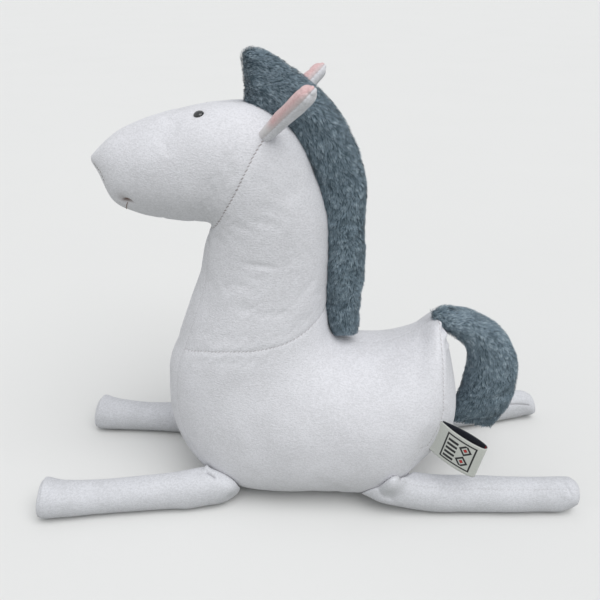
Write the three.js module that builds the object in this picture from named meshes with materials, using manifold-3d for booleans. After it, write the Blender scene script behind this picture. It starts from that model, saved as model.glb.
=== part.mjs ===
// Stuffed plush horse lying on its belly: sewn covers over fibre filling, four sewn-on legs, a
// mane, a tail, two lined ears, safety eyes held by washers and a folded tape label.
// Millimetres, +Z up. The horse looks along -X, so its left side is -Y. The origin is on the
// ground under the middle of its belly.
import * as THREE from 'three';
import { mergeVertices } from 'three/addons/utils/BufferGeometryUtils.js';
import Module from 'manifold-3d';

const wasm = await Module();
wasm.setup();

// Torso
const chestReach = 110;
const rumpReach = 129;
const backHeight = 126;
const torsoWidth = 132;
const gussetWidth = 106;

// Neck and head
const withersReach = 22.5;
const neckDepth = 103;
const neckWidth = 84;
const neckRise = 101;
const headLength = 149;
const headDepth = 80;
const headWidth = 88;

// Cloth, seams and fits
const coverThickness = 2.5;
const limbCoverThickness = 2;
const seamGap = 0.3;
const seatGap = 0.4;
const swingGap = 0.5;
const restFlat = 0.5;
const cutOverrun = 40;
const mergeTolerance = 0.0001;

// Surface finish of each material
const velour = { color: '#d6d8da', roughness: 0.95, metalness: 0 };
const greyPlush = { color: '#5b6a73', roughness: 1, metalness: 0 };
const pinkVelour = { color: '#d9b4b6', roughness: 0.95, metalness: 0 };
const fibre = { color: '#f1f1ee', roughness: 1, metalness: 0 };
const glossBlack = { color: '#0b0b0d', roughness: 0.12, metalness: 0 };
const washerPlastic = { color: '#e6e4dc', roughness: 0.6, metalness: 0 };
const mouthThread = { color: '#8d5a4c', roughness: 0.9, metalness: 0 };
const labelTape = { color: '#dcdbd5', roughness: 0.9, metalness: 0 };

const horse = new THREE.Group();

// Solids

function solidFrom(geometry) {
  const bare = geometry.clone();
  bare.deleteAttribute('normal');
  bare.deleteAttribute('uv');
  const merged = mergeVertices(bare, mergeTolerance);
  return new wasm.Manifold(new wasm.Mesh({
    numProp: 3,
    vertProperties: new Float32Array(merged.attributes.position.array),
    triVerts: new Uint32Array(merged.index.array),
  }));
}

function geometryFrom(solid) {
  const mesh = solid.getMesh();
  const geometry = new THREE.BufferGeometry();
  geometry.setAttribute('position', new THREE.BufferAttribute(mesh.vertProperties, mesh.numProp));
  geometry.setIndex(new THREE.BufferAttribute(mesh.triVerts, 1));
  geometry.computeVertexNormals();
  return geometry;
}

function largestBody(solid) {
  const bodies = solid.decompose();
  bodies.sort((one, other) => other.volume() - one.volume());
  return bodies[0];
}

function addPiece(name, solid, finish) {
  const mesh = new THREE.Mesh(geometryFrom(largestBody(solid)), new THREE.MeshStandardMaterial(finish));
  mesh.name = name;
  horse.add(mesh);
}

function placed(geometry, matrix) {
  return geometry.clone().applyMatrix4(matrix);
}

// Moves every vertex along its own normal: outward for a clearance, inward for a cloth thickness.
function offset(geometry, distance) {
  const moved = geometry.clone();
  moved.computeVertexNormals();
  const position = moved.attributes.position;
  const normal = moved.attributes.normal;
  for (let i = 0; i < position.count; i += 1) {
    position.setXYZ(
      i,
      position.getX(i) + normal.getX(i) * distance,
      position.getY(i) + normal.getY(i) * distance,
      position.getZ(i) + normal.getZ(i) * distance,
    );
  }
  return moved;
}

// Joins a row of equal rings into one closed skin, with a point in the middle of each end.
function skinRings(rings, startPoint, endPoint) {
  const sides = rings[0].length;
  const corners = [startPoint, ...rings.flat(), endPoint];
  const last = corners.length - 1;
  const faces = [];
  for (let side = 0; side < sides; side += 1) {
    const next = (side + 1) % sides;
    faces.push(0, 1 + side, 1 + next);
    for (let ring = 0; ring < rings.length - 1; ring += 1) {
      const here = 1 + ring * sides;
      const there = here + sides;
      faces.push(here + side, there + side, there + next);
      faces.push(here + side, there + next, here + next);
    }
    const end = 1 + (rings.length - 1) * sides;
    faces.push(end + side, last, end + next);
  }
  const geometry = new THREE.BufferGeometry();
  geometry.setAttribute('position', new THREE.Float32BufferAttribute(corners.flatMap((p) => p.toArray()), 3));
  geometry.setIndex(faces);
  return signedVolume(geometry) > 0 ? geometry : turnedInsideOut(geometry);
}

function signedVolume(geometry) {
  const index = geometry.index;
  const position = geometry.attributes.position;
  const corners = [new THREE.Vector3(), new THREE.Vector3(), new THREE.Vector3()];
  let sum = 0;
  for (let i = 0; i < index.count; i += 3) {
    corners.forEach((corner, k) => corner.fromBufferAttribute(position, index.getX(i + k)));
    sum += corners[0].dot(corners[1].clone().cross(corners[2])) / 6;
  }
  return sum;
}

function turnedInsideOut(geometry) {
  const flipped = geometry.clone();
  const index = flipped.index;
  for (let i = 0; i < index.count; i += 3) {
    const second = index.getX(i + 1);
    index.setX(i + 1, index.getX(i + 2));
    index.setX(i + 2, second);
  }
  return flipped;
}

// Soft forms
// A stuffed form is a row of stations. Each one holds the points of its upper and lower outline,
// seen from the side, its half width, and how full its upper and lower half is: 2 is an ellipse,
// more is squarer, less is more pointed. Rings between stations follow Catmull-Rom splines.

function station(upper, lower, half, upperFullness = 2.2, lowerFullness = 2.2) {
  return { upper, lower, half, upperFullness, lowerFullness };
}

function stationAt(stations, share) {
  const upper = new THREE.SplineCurve(stations.map((s) => s.upper)).getPoint(share);
  const lower = new THREE.SplineCurve(stations.map((s) => s.lower)).getPoint(share);
  const widths = new THREE.SplineCurve(stations.map((s) => new THREE.Vector2(s.half, 0)));
  const fullness = new THREE.SplineCurve(
    stations.map((s) => new THREE.Vector2(s.upperFullness, s.lowerFullness)),
  ).getPoint(share);
  const half = widths.getPoint(share).x;
  return { upper, lower, half, upperFullness: fullness.x, lowerFullness: fullness.y };
}

function sectionRing(spot, sides) {
  const middle = spot.upper.clone().add(spot.lower).multiplyScalar(0.5);
  const ring = [];
  for (let i = 0; i < sides; i += 1) {
    const angle = (i / sides) * 2 * Math.PI;
    const rise = Math.cos(angle);
    const reach = Math.sin(angle);
    const power = 2 / (rise > 0 ? spot.upperFullness : spot.lowerFullness);
    const end = rise > 0 ? spot.upper : spot.lower;
    const place = middle.clone().lerp(end, Math.abs(rise) ** power);
    ring.push(new THREE.Vector3(place.x, Math.sign(reach) * spot.half * Math.abs(reach) ** power, place.y));
  }
  return ring;
}

function everyStep(count) {
  return Array.from({ length: count + 1 }, (unused, i) => i / count);
}

function softForm(stations, shares, sides, endDent = 0) {
  const rings = shares.map((share) => sectionRing(stationAt(stations, share), sides));
  const middleOf = (spot) => new THREE.Vector3(
    (spot.upper.x + spot.lower.x) / 2,
    0,
    (spot.upper.y + spot.lower.y) / 2,
  );
  const end = middleOf(stations[stations.length - 1]);
  const before = middleOf(stations[stations.length - 2]);
  end.addScaledVector(before.sub(end).normalize(), endDent);
  return skinRings(rings, middleOf(stations[0]), end);
}

// A flat outline in the XZ plane, carried across the whole width.
function prismGeometry(outline, halfWidth) {
  const geometry = new THREE.ExtrudeGeometry(new THREE.Shape(outline), {
    depth: 2 * halfWidth,
    bevelEnabled: false,
    steps: 1,
  });
  geometry.translate(0, 0, -halfWidth);
  geometry.rotateX(Math.PI / 2);
  return geometry;
}

function prism(outline, halfWidth) {
  return solidFrom(prismGeometry(outline, halfWidth));
}

// A round profile turned about a frame's Z axis. It starts and ends on the axis, or closes on itself.
function turned(profile, segments, frame) {
  const points = profile.map(([radius, rise]) => new THREE.Vector2(radius, rise));
  const geometry = new THREE.LatheGeometry(points, segments);
  geometry.rotateX(Math.PI / 2);
  return solidFrom(placed(geometry, frame));
}

function cylinder(radius, from, to, segments, frame) {
  return turned([[0, from], [radius, from], [radius, to], [0, to]], segments, frame);
}

function block(from, to) {
  const size = to.clone().sub(from);
  const geometry = new THREE.BoxGeometry(size.x, size.y, size.z);
  geometry.translate((from.x + to.x) / 2, (from.y + to.y) / 2, (from.z + to.z) / 2);
  return solidFrom(geometry);
}

const reach = chestReach + rumpReach + headLength + cutOverrun;
const aboveGround = block(new THREE.Vector3(-reach, -reach, 0), new THREE.Vector3(reach, reach, reach));
const leftSide = block(
  new THREE.Vector3(-reach, -reach, -reach),
  new THREE.Vector3(reach, -seamGap / 2, reach),
);
const rightSide = block(
  new THREE.Vector3(-reach, seamGap / 2, -reach),
  new THREE.Vector3(reach, reach, reach),
);

const sides = [
  { name: 'left', sign: -1, half: leftSide },
  { name: 'right', sign: 1, half: rightSide },
];

// Body
// One form runs from the rump through the belly, fans up round the withers into the neck and
// round the throat into the head, and ends at the nose.

function torsoPoint(lengthShare, heightShare) {
  const length = lengthShare > 0 ? rumpReach : chestReach;
  return new THREE.Vector2(lengthShare * length, heightShare * backHeight);
}

function neckPoint(depthShare, riseShare) {
  return new THREE.Vector2(withersReach + depthShare * neckDepth, backHeight + riseShare * neckRise);
}

function headPoint(lengthShare, depthShare) {
  return new THREE.Vector2(-lengthShare * headLength, backHeight + neckRise + depthShare * headDepth);
}

const bellyDrop = -restFlat / backHeight;
const bodyStations = [
  station(torsoPoint(0.99, 0.62), torsoPoint(0.988, 0.53), torsoWidth * 0.03),
  station(torsoPoint(0.96, 0.81), torsoPoint(0.935, 0.4), torsoWidth * 0.26),
  station(torsoPoint(0.905, 1.03), torsoPoint(0.83, 0.24), torsoWidth * 0.36, 2, 1.9),
  station(torsoPoint(0.84, 1.225), torsoPoint(0.71, 0.095), torsoWidth * 0.415, 1.55, 2),
  station(torsoPoint(0.715, 1.105), torsoPoint(0.59, 0.01), torsoWidth * 0.465, 1.8, 2.35),
  station(torsoPoint(0.54, 1.015), torsoPoint(0.42, bellyDrop), torsoWidth * 0.495, 2.1, 2.6),
  station(torsoPoint(0.35, 1.0), torsoPoint(0.14, bellyDrop), torsoWidth * 0.5, 2.2, 2.6),
  station(torsoPoint(0.245, 1.03), torsoPoint(-0.24, bellyDrop), torsoWidth * 0.495, 2.2, 2.8),
  station(torsoPoint(0.205, 1.075), torsoPoint(-0.55, 0.018), torsoWidth * 0.475, 2.2, 2.6),
  station(torsoPoint(0.183, 1.13), torsoPoint(-0.81, 0.175), torsoWidth * 0.44, 2.2, 2.4),
  station(torsoPoint(0.176, 1.2), torsoPoint(-0.965, 0.45), torsoWidth * 0.405, 2.2, 2.2),
  station(neckPoint(-0.005, 0.35), neckPoint(-1.25, -0.22), neckWidth * 0.59),
  station(neckPoint(0, 0.49), neckPoint(-1.16, 0.05), neckWidth * 0.555),
  station(neckPoint(0.005, 0.65), neckPoint(-1.06, 0.32), neckWidth * 0.52),
  station(neckPoint(0.008, 0.83), neckPoint(-0.965, 0.58), neckWidth * 0.5),
  station(neckPoint(-0.005, 1.06), neckPoint(-0.92, 0.79), neckWidth * 0.5),
  station(headPoint(-0.09, 0.43), headPoint(0.458, -0.12), headWidth * 0.485),
  station(headPoint(0.015, 0.82), headPoint(0.445, -0.025), headWidth * 0.5),
  station(headPoint(0.185, 1.04), headPoint(0.48, -0.01), headWidth * 0.5),
  station(headPoint(0.385, 1.055), headPoint(0.565, -0.01), headWidth * 0.495),
  station(headPoint(0.58, 0.985), headPoint(0.69, 0.015), headWidth * 0.45),
  station(headPoint(0.75, 0.9), headPoint(0.8, 0.055), headWidth * 0.38),
  station(headPoint(0.885, 0.79), headPoint(0.905, 0.145), headWidth * 0.28),
  station(headPoint(0.968, 0.66), headPoint(0.965, 0.365), headWidth * 0.15),
  station(headPoint(1.006, 0.565), headPoint(1.003, 0.505), headWidth * 0.03),
];
// The lining leaves out the rings that stand where the form runs straight or swells.
const bodySides = 14;
const bodySteps = everyStep(bodyStations.length - 1);
const straightSteps = [8, 10, 12, 14, 19, 21, 23];
const bodyForm = softForm(bodyStations, bodySteps, bodySides);
const liningSteps = bodySteps.filter((share, i) => !straightSteps.includes(i));
const bodyLiningForm = softForm(bodyStations, liningSteps, bodySides);
const bodySkin = solidFrom(bodyForm);
const bodyClear = solidFrom(offset(bodyForm, seatGap));
const swingForm = offset(bodyForm, swingGap);
const bodyHollow = solidFrom(offset(bodyLiningForm, -coverThickness));
const bodyCore = solidFrom(offset(bodyLiningForm, -coverThickness - seatGap));

// A place on the body's skin: how far along it from rump to nose, how far round from its upper to
// its lower outline, and on which side.
function skinPoint(alongShare, roundShare, side) {
  const spot = stationAt(bodyStations, alongShare);
  const middle = spot.upper.clone().add(spot.lower).multiplyScalar(0.5);
  const angle = roundShare * Math.PI;
  const rise = Math.cos(angle);
  const power = 2 / (rise > 0 ? spot.upperFullness : spot.lowerFullness);
  const place = middle.lerp(rise > 0 ? spot.upper : spot.lower, Math.abs(rise) ** power);
  return new THREE.Vector3(place.x, side * spot.half * Math.sin(angle) ** power, place.y);
}

const probeShare = 0.01;

function skinNormal(alongShare, roundShare, side) {
  const along = skinPoint(alongShare + probeShare, roundShare, side)
    .sub(skinPoint(alongShare - probeShare, roundShare, side));
  const round = skinPoint(alongShare, roundShare + probeShare, side)
    .sub(skinPoint(alongShare, roundShare - probeShare, side));
  return along.cross(round).multiplyScalar(-side).normalize();
}

// The strip under the horse, from the throat down the chest, along the belly and up to the tail.
const gussetStops = [
  { end: bodyStations[1].lower, widthShare: 1 },
  { end: bodyStations[2].lower, widthShare: 0.98 },
  { end: bodyStations[4].lower, widthShare: 0.92 },
  { end: bodyStations[6].lower, widthShare: 0.8 },
  { end: bodyStations[8].lower, widthShare: 0.86 },
  { end: bodyStations[9].lower, widthShare: 0.78 },
  { end: bodyStations[10].lower, widthShare: 0.66 },
  { end: bodyStations[12].lower, widthShare: 0.55 },
  { end: bodyStations[14].lower, widthShare: 0.47 },
  { end: bodyStations[16].lower, widthShare: 0.38 },
];
const gussetDepthShare = 0.3;
const gussetRings = 13;
const gussetHeart = torsoPoint(0, 0.87);

// The strip's edges stand square to the horse's width, and its depth points at the middle of the loop.
function stripZone(growth) {
  const path = new THREE.SplineCurve(gussetStops.map((stop) => stop.end));
  const widths = new THREE.SplineCurve(gussetStops.map((stop) => new THREE.Vector2(stop.widthShare, 0)));
  const rings = [];
  for (let i = 0; i <= gussetRings; i += 1) {
    const share = i / gussetRings;
    const along = path.getTangent(share);
    const point = path.getPoint(share).addScaledVector(along, growth * (2 * share - 1));
    const inward = gussetHeart.clone().sub(point);
    const depth = inward.length() * gussetDepthShare + growth;
    inward.normalize();
    const half = (widths.getPoint(share).x * gussetWidth) / 2 + growth;
    const outer = point.clone().addScaledVector(inward, -depth);
    const inner = point.clone().addScaledVector(inward, depth);
    rings.push([
      new THREE.Vector3(outer.x, -half, outer.y),
      new THREE.Vector3(outer.x, half, outer.y),
      new THREE.Vector3(inner.x, half, inner.y),
      new THREE.Vector3(inner.x, -half, inner.y),
    ]);
  }
  const middle = (ring) => ring[0].clone().add(ring[2]).multiplyScalar(0.5);
  return solidFrom(skinRings(rings, middle(rings[0]), middle(rings[rings.length - 1])));
}

// The strip's seams up the rump, seen from the side, from the tail down to the hind legs.
const rumpSeam = [
  torsoPoint(0.79, 1.4),
  torsoPoint(0.832, 1.19),
  torsoPoint(0.85, 1.04),
  torsoPoint(0.862, 0.82),
  torsoPoint(0.857, 0.69),
  torsoPoint(0.79, 0.49),
  torsoPoint(0.68, 0.28),
  torsoPoint(0.58, 0.12),
  torsoPoint(0.5, -0.1),
];

// Seam between head and neck, from the poll down to the throat and out past it.
const headSeam = [
  headPoint(0.04, 1.6),
  headPoint(0.1, 1.0),
  headPoint(0.2, 0.7),
  headPoint(0.275, 0.46),
  headPoint(0.33, 0.28),
  headPoint(0.43, 0.0),
  headPoint(0.56, -0.16),
  headPoint(0.8, -0.3),
];

// Seam round the bottom of the neck, sagging between chest and withers.
const neckSeam = [
  neckPoint(-1.5, 0.02),
  neckPoint(-1.1, 0.045),
  neckPoint(-0.9, 0.095),
  neckPoint(-0.7, 0.125),
  neckPoint(-0.5, 0.145),
  neckPoint(-0.25, 0.2),
  neckPoint(0, 0.34),
  neckPoint(0.4, 0.6),
];

// Moves a seam sideways by a signed distance, for the gap between the two covers that it joins.
function shiftedSeam(points, distance) {
  return points.map((point, i) => {
    const before = points[Math.max(i - 1, 0)];
    const after = points[Math.min(i + 1, points.length - 1)];
    const along = after.clone().sub(before).normalize();
    return point.clone().addScaledVector(new THREE.Vector2(-along.y, along.x), distance);
  });
}

function gussetZone(growth) {
  const seam = shiftedSeam(rumpSeam, -growth);
  const low = new THREE.Vector2(reach, seam[seam.length - 1].y);
  const rump = prism([...seam, low, new THREE.Vector2(reach, reach)], reach);
  return rump.add(stripZone(growth));
}

function headZone(shift) {
  const seam = shiftedSeam(headSeam, shift);
  const low = new THREE.Vector2(-reach, seam[seam.length - 1].y);
  return prism([...seam, low, new THREE.Vector2(-reach, reach)], reach);
}

function upperZone(shift) {
  const seam = shiftedSeam(neckSeam, shift);
  return prism([...seam, new THREE.Vector2(seam[seam.length - 1].x, reach), new THREE.Vector2(-reach, reach),
    new THREE.Vector2(-reach, seam[0].y)], reach);
}

const bodyCover = bodySkin.subtract(bodyHollow).intersect(aboveGround);
const sideCover = bodyCover.subtract(gussetZone(seamGap));
// A frame at a place: X along a direction, Z as near as it can to a facing, Y square to both.
function frameAt(place, along, facing) {
  const x = along.clone().normalize();
  const y = facing.clone().cross(x).normalize();
  const z = x.clone().cross(y);
  return new THREE.Matrix4().makeBasis(x, y, z).setPosition(place);
}

const swingStep = 20;

// Cuts a moving piece clear of the body at every angle of its swing about its frame's Y axis.
function clearOfBody(solid, frame, fromAngle, toAngle) {
  const back = frame.clone().invert();
  const steps = Math.ceil((toAngle - fromAngle) / swingStep);
  let cut = solid;
  for (let i = 0; i <= steps; i += 1) {
    const angle = THREE.MathUtils.degToRad(fromAngle + ((toAngle - fromAngle) * i) / steps);
    const turn = frame.clone().multiply(new THREE.Matrix4().makeRotationY(-angle)).multiply(back);
    cut = cut.subtract(solidFrom(placed(swingForm, turn)));
  }
  return cut;
}

// A limb is a sewn cover, open at its root, over its own filling.
function addLimb(name, stations, frame, swing, finish, liningRings, endDent) {
  const outer = placed(softForm(stations, everyStep(limbRings), limbSides, endDent), frame);
  const lining = placed(softForm(stations.slice(0, -1), everyStep(liningRings), limbLiningSides), frame);
  const hollow = solidFrom(offset(lining, -limbCoverThickness));
  const shell = solidFrom(outer).subtract(hollow);
  const core = solidFrom(offset(lining, -limbCoverThickness - seatGap)).intersect(hollow);
  const clear = (solid) => clearOfBody(solid.intersect(aboveGround), frame, swing[0], swing[1]);
  addPiece(`${name}_cover`, clear(shell), finish);
  addPiece(`${name}_filling`, clear(core), fibre);
}

// Ears
// Each ear is a white back and a pink lining sewn edge to edge, set into the top of the head seam.
const earLength = 54;
const earWidth = 14;
const earThickness = 12;
const earSwing = [-25, 25];
const earLeans = {
  left: { rear: 0.56, out: 0.58, up: 0.59 },
  right: { rear: 0.64, out: 0.52, up: 0.57 },
};
const earFacing = new THREE.Vector3(-0.74, 0, 0.67);
const earBase = { alongShare: 0.73, roundShare: 0.215 };
const earRings = 7;
const earSides = 8;

function earStation(lengthShare, thicknessShare, widthShare) {
  const face = thicknessShare * earThickness;
  return station(
    new THREE.Vector2(lengthShare * earLength, face),
    new THREE.Vector2(lengthShare * earLength, -face),
    widthShare * earWidth,
  );
}

const earStations = [
  earStation(-0.12, 0.25, 0.3),
  earStation(0.02, 0.38, 0.38),
  earStation(0.24, 0.46, 0.44),
  earStation(0.5, 0.48, 0.48),
  earStation(0.76, 0.5, 0.5),
  earStation(0.92, 0.44, 0.44),
  earStation(1, 0.2, 0.2),
];

for (const side of sides) {
  const place = skinPoint(earBase.alongShare, earBase.roundShare, side.sign);
  const { rear, out, up } = earLeans[side.name];
  const lean = new THREE.Vector3(rear, side.sign * out, up);
  const frame = frameAt(place, lean, earFacing);
  const ear = softForm(earStations, everyStep(earRings), earSides);
  const halves = [
    { name: `ear_lining_${side.name}`, from: seamGap / 2, to: earLength, finish: pinkVelour },
    { name: `ear_back_${side.name}`, from: -earLength, to: -seamGap / 2, finish: velour },
  ];
  for (const half of halves) {
    const slab = new THREE.BoxGeometry(earLength * 3, earLength * 3, half.to - half.from);
    slab.translate(0, 0, (half.from + half.to) / 2);
    const piece = solidFrom(placed(ear, frame)).intersect(solidFrom(placed(slab, frame)));
    addPiece(half.name, clearOfBody(piece, frame, earSwing[0], earSwing[1]), half.finish);
  }
}

// Eyes
// A glossy domed eye on a ridged shank, pushed through the head cover and held by a washer behind it.
const eyeRadius = 3.7;
const eyeRise = 2.7;
const eyeSink = 1.2;
const shankRadius = 1.5;
const shankLength = 10;
const shankRidge = 0.35;
const ridgeCount = 3;
const washerRadius = 7;
const washerThickness = 1.2;
const washerHub = 1.4;
const washerDish = 0.6;
const eyeSegments = 12;
const pitSegments = 8;
const eyeArcSteps = 4;
const eyePlace = { alongShare: 0.805, roundShare: 0.14 };

function eyeProfile() {
  const back = -eyeSink;
  const profile = [[0, back - shankLength], [shankRadius, back - shankLength]];
  const pitch = shankLength / 2 / ridgeCount;
  for (let i = 0; i < ridgeCount; i += 1) {
    const start = back - shankLength + (i + 1) * pitch;
    profile.push([shankRadius, start], [shankRadius + shankRidge, start + shankRidge]);
    profile.push([shankRadius, start + shankRidge * 2]);
  }
  profile.push([shankRadius, back]);
  for (let i = 0; i < eyeArcSteps; i += 1) {
    const angle = ((i / eyeArcSteps) * Math.PI) / 2;
    profile.push([eyeRadius * Math.cos(angle), back + eyeRise * Math.sin(angle)]);
  }
  profile.push([0, back + eyeRise]);
  return profile;
}

const washerFace = -coverThickness - seamGap;
const washerBore = shankRadius + shankRidge + seamGap;

function washerProfile() {
  const rear = washerFace - washerThickness;
  return [
    [washerBore, washerFace],
    [washerBore, rear - washerHub],
    [washerBore + washerThickness, rear - washerHub],
    [washerBore + washerThickness, rear],
    [washerRadius, rear + washerDish],
    [washerRadius, washerFace],
    [washerBore, washerFace],
  ];
}

const headCutters = [];
const fillingCutters = [];
for (const side of sides) {
  const place = skinPoint(eyePlace.alongShare, eyePlace.roundShare, side.sign);
  const outward = skinNormal(eyePlace.alongShare, eyePlace.roundShare, side.sign);
  const frame = frameAt(place, new THREE.Vector3(1, 0, 0).cross(outward), outward);
  addPiece(`eye_${side.name}`, turned(eyeProfile(), eyeSegments, frame), glossBlack);
  addPiece(`eye_washer_${side.name}`, turned(washerProfile(), eyeSegments, frame), washerPlastic);
  const washerRear = washerFace - washerThickness - washerHub - seatGap;
  const shankEnd = -eyeSink - shankLength - seatGap;
  headCutters.push(
    cylinder(eyeRadius + seatGap * 2, -eyeSink - seamGap, eyeRise * 2, pitSegments, frame),
    cylinder(washerBore + seamGap, washerFace * 2, 0, pitSegments, frame),
    cylinder(washerRadius + seatGap * 3, washerRear, -coverThickness, pitSegments, frame),
  );
  fillingCutters.push(
    cylinder(washerRadius + seatGap * 3, washerRear, 0, pitSegments, frame),
    cylinder(washerBore + seamGap, shankEnd, 0, pitSegments, frame),
  );
}

// Mouth
// A drawn-in thread follows the underside of the chin from one mouth corner to the other.
const threadRadius = 0.7;
const threadDive = 3.2;
const threadSides = 3;
const threadSteps = 9;
const mouthPlace = { alongShare: 0.881, roundShare: 0.645 };
const mouthStops = 4;
const cornerRadius = 6;
const cornerDepth = 1.2;

function mouthPath() {
  const points = [];
  for (let i = -mouthStops; i <= mouthStops; i += 1) {
    const share = 1 - ((1 - mouthPlace.roundShare) * Math.abs(i)) / mouthStops;
    points.push(skinPoint(mouthPlace.alongShare, share, i < 0 ? -1 : 1));
  }
  for (const [end, sign] of [[points[0], -1], [points[points.length - 1], 1]]) {
    const inward = skinNormal(mouthPlace.alongShare, mouthPlace.roundShare, sign).negate();
    const inside = end.clone().addScaledVector(inward, threadDive);
    if (sign < 0) points.unshift(inside);
    else points.push(inside);
  }
  return new THREE.CatmullRomCurve3(points);
}

function threadAlong(path, radius) {
  const shape = new THREE.Shape();
  shape.absarc(0, 0, radius, 0, 2 * Math.PI);
  return solidFrom(new THREE.ExtrudeGeometry(shape, {
    steps: threadSteps,
    curveSegments: threadSides,
    extrudePath: path,
  }));
}

const mouthGroove = threadAlong(mouthPath(), threadRadius + seamGap);
headCutters.push(mouthGroove);
fillingCutters.push(mouthGroove);
for (const side of sides) {
  const corner = skinPoint(mouthPlace.alongShare, mouthPlace.roundShare, side.sign);
  const outward = skinNormal(mouthPlace.alongShare, mouthPlace.roundShare, side.sign);
  const dish = new THREE.SphereGeometry(cornerRadius, pitSegments, pitSegments);
  dish.translate(...corner.addScaledVector(outward, cornerRadius - cornerDepth).toArray());
  headCutters.push(solidFrom(dish));
}
addPiece('mouth_stitch', threadAlong(mouthPath(), threadRadius), mouthThread);

// Body covers and filling
const cutAll = (solid, cutters) => cutters.reduce((left, cutter) => left.subtract(cutter), solid);
const headCover = cutAll(sideCover.intersect(headZone(-seamGap / 2)), headCutters);
const neckCover = sideCover.intersect(upperZone(seamGap / 2)).subtract(headZone(seamGap / 2));
const torsoCover = sideCover.subtract(upperZone(-seamGap / 2)).subtract(headZone(seamGap / 2));
for (const side of sides) {
  addPiece(`torso_panel_${side.name}`, torsoCover.intersect(side.half), velour);
  addPiece(`neck_panel_${side.name}`, neckCover.intersect(side.half), velour);
  addPiece(`head_panel_${side.name}`, headCover.intersect(side.half), velour);
}
addPiece('underside_gusset', bodyCover.intersect(gussetZone(0)), velour);
addPiece('body_filling', cutAll(bodyCore, fillingCutters), fibre);

// Label
// A folded tape whose two ends are caught in the seam at the left of the rump.
const labelWidth = 27;
const labelReach = 37;
const tapeThickness = 0.8;
const labelSwing = [-30, 30];
const labelSeamShares = { upper: [0.0865, 0.475], lower: [0.0965, 0.635] };
const labelOut = new THREE.Vector3(0.82, -0.54, -0.18);
const labelLineShares = [[-0.08, 0.02], [0, 0.03], [0.3, 0.1], [0.65, 0.12], [0.93, 0.08]];
const labelLineSteps = 12;

function labelLine() {
  const leaf = labelLineShares.map(([out, rise]) => new THREE.Vector2(out * labelReach, rise * labelReach));
  const back = leaf.map((point) => new THREE.Vector2(point.x, -point.y)).reverse();
  const fold = new THREE.Vector2(labelReach, 0);
  return new THREE.SplineCurve([...leaf, fold, ...back]).getPoints(labelLineSteps);
}

const labelTop = skinPoint(labelSeamShares.upper[0], labelSeamShares.upper[1], -1);
const labelLow = skinPoint(labelSeamShares.lower[0], labelSeamShares.lower[1], -1);
const labelEdge = labelTop.clone().sub(labelLow).normalize();
const labelAlong = labelOut.clone().addScaledVector(labelEdge, -labelOut.dot(labelEdge));
const labelFrame = frameAt(
  labelTop.clone().add(labelLow).multiplyScalar(0.5),
  labelAlong,
  labelAlong.clone().cross(labelEdge),
);
const labelOutline = [
  ...shiftedSeam(labelLine(), tapeThickness / 2),
  ...shiftedSeam(labelLine(), -tapeThickness / 2).reverse(),
];
const labelSolid = solidFrom(placed(prismGeometry(labelOutline, labelWidth / 2), labelFrame));
addPiece('sewn_label', clearOfBody(labelSolid, labelFrame, labelSwing[0], labelSwing[1]), labelTape);

// Legs
const legGirth = 29;
const limbRings = 9;
const limbSides = 10;
const legLiningRings = 5;
const tailLiningRings = 5;
const limbLiningSides = 6;
const legSwing = [0, 100];
const frontHinge = { alongShare: 0.342, roundShare: 0.75 };
const hindHinge = { alongShare: 0.19, roundShare: 0.75 };
const frontToeShares = { left: [-1.852, -1.34], right: [-1.765, 0.97] };
const hindToeShares = { left: [1.745, -0.79], right: [1.715, 1.74] };

const frontRootShares = [0.28, 0.1, 0];
const hindRootShares = [0.5, 0.32, 0.12];
const frontFlareShares = { left: 1.05, right: 1.05 };
const hindFlareShares = { left: 0.9, right: 0.8 };

function legStations(length, height, pair) {
  const at = (lengthShare, girthShare) =>
    new THREE.Vector2(lengthShare * length, girthShare * legGirth - height);
  const ground = -restFlat / legGirth;
  const { rootShares, flareShare } = pair;
  return [
    station(at(-0.11, 0.62), at(-0.11, 0.52), legGirth * 0.04),
    station(at(-0.07, 0.98), at(-0.08, rootShares[0]), legGirth * 0.3),
    station(at(0.0, 1.2), at(0.0, rootShares[1]), legGirth * 0.45),
    station(at(0.12, 1.2), at(0.13, rootShares[2]), legGirth * 0.51),
    station(at(0.27, 1.03), at(0.27, ground), legGirth * 0.5),
    station(at(0.47, 0.95), at(0.47, ground), legGirth * 0.49),
    station(at(0.68, 0.92), at(0.68, ground), legGirth * 0.48),
    station(at(0.86, 0.97), at(0.86, ground), legGirth * 0.5 * flareShare),
    station(at(0.955, 1.06 * flareShare), at(0.98, ground), legGirth * 0.53 * flareShare),
    station(at(0.98, 0.94 * flareShare), at(1.02, 0.1), legGirth * 0.42 * flareShare),
  ];
}

for (const side of sides) {
  const pairs = [
    {
      name: 'leg_front',
      hinge: frontHinge,
      toeShares: frontToeShares[side.name],
      rootShares: frontRootShares,
      flareShare: frontFlareShares[side.name],
    },
    {
      name: 'leg_hind',
      hinge: hindHinge,
      toeShares: hindToeShares[side.name],
      rootShares: hindRootShares,
      flareShare: hindFlareShares[side.name],
    },
  ];
  for (const pair of pairs) {
    const hinge = skinPoint(pair.hinge.alongShare, pair.hinge.roundShare, side.sign);
    const [lengthShare, widthShare] = pair.toeShares;
    const length = lengthShare < 0 ? chestReach : rumpReach;
    const toe = new THREE.Vector3(lengthShare * length, (widthShare * gussetWidth) / 2, hinge.z);
    const along = toe.clone().sub(hinge);
    const frame = frameAt(hinge, along, new THREE.Vector3(0, 0, 1));
    const stations = legStations(along.length(), hinge.z, pair);
    addLimb(`${pair.name}_${side.name}`, stations, frame, legSwing, velour, legLiningRings, legGirth * 0.06);
  }
}

// Mane
// A stuffed crest from the forelock over the poll and down the nape, sewn on along the middle seam.
const maneWidth = 33;

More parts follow.
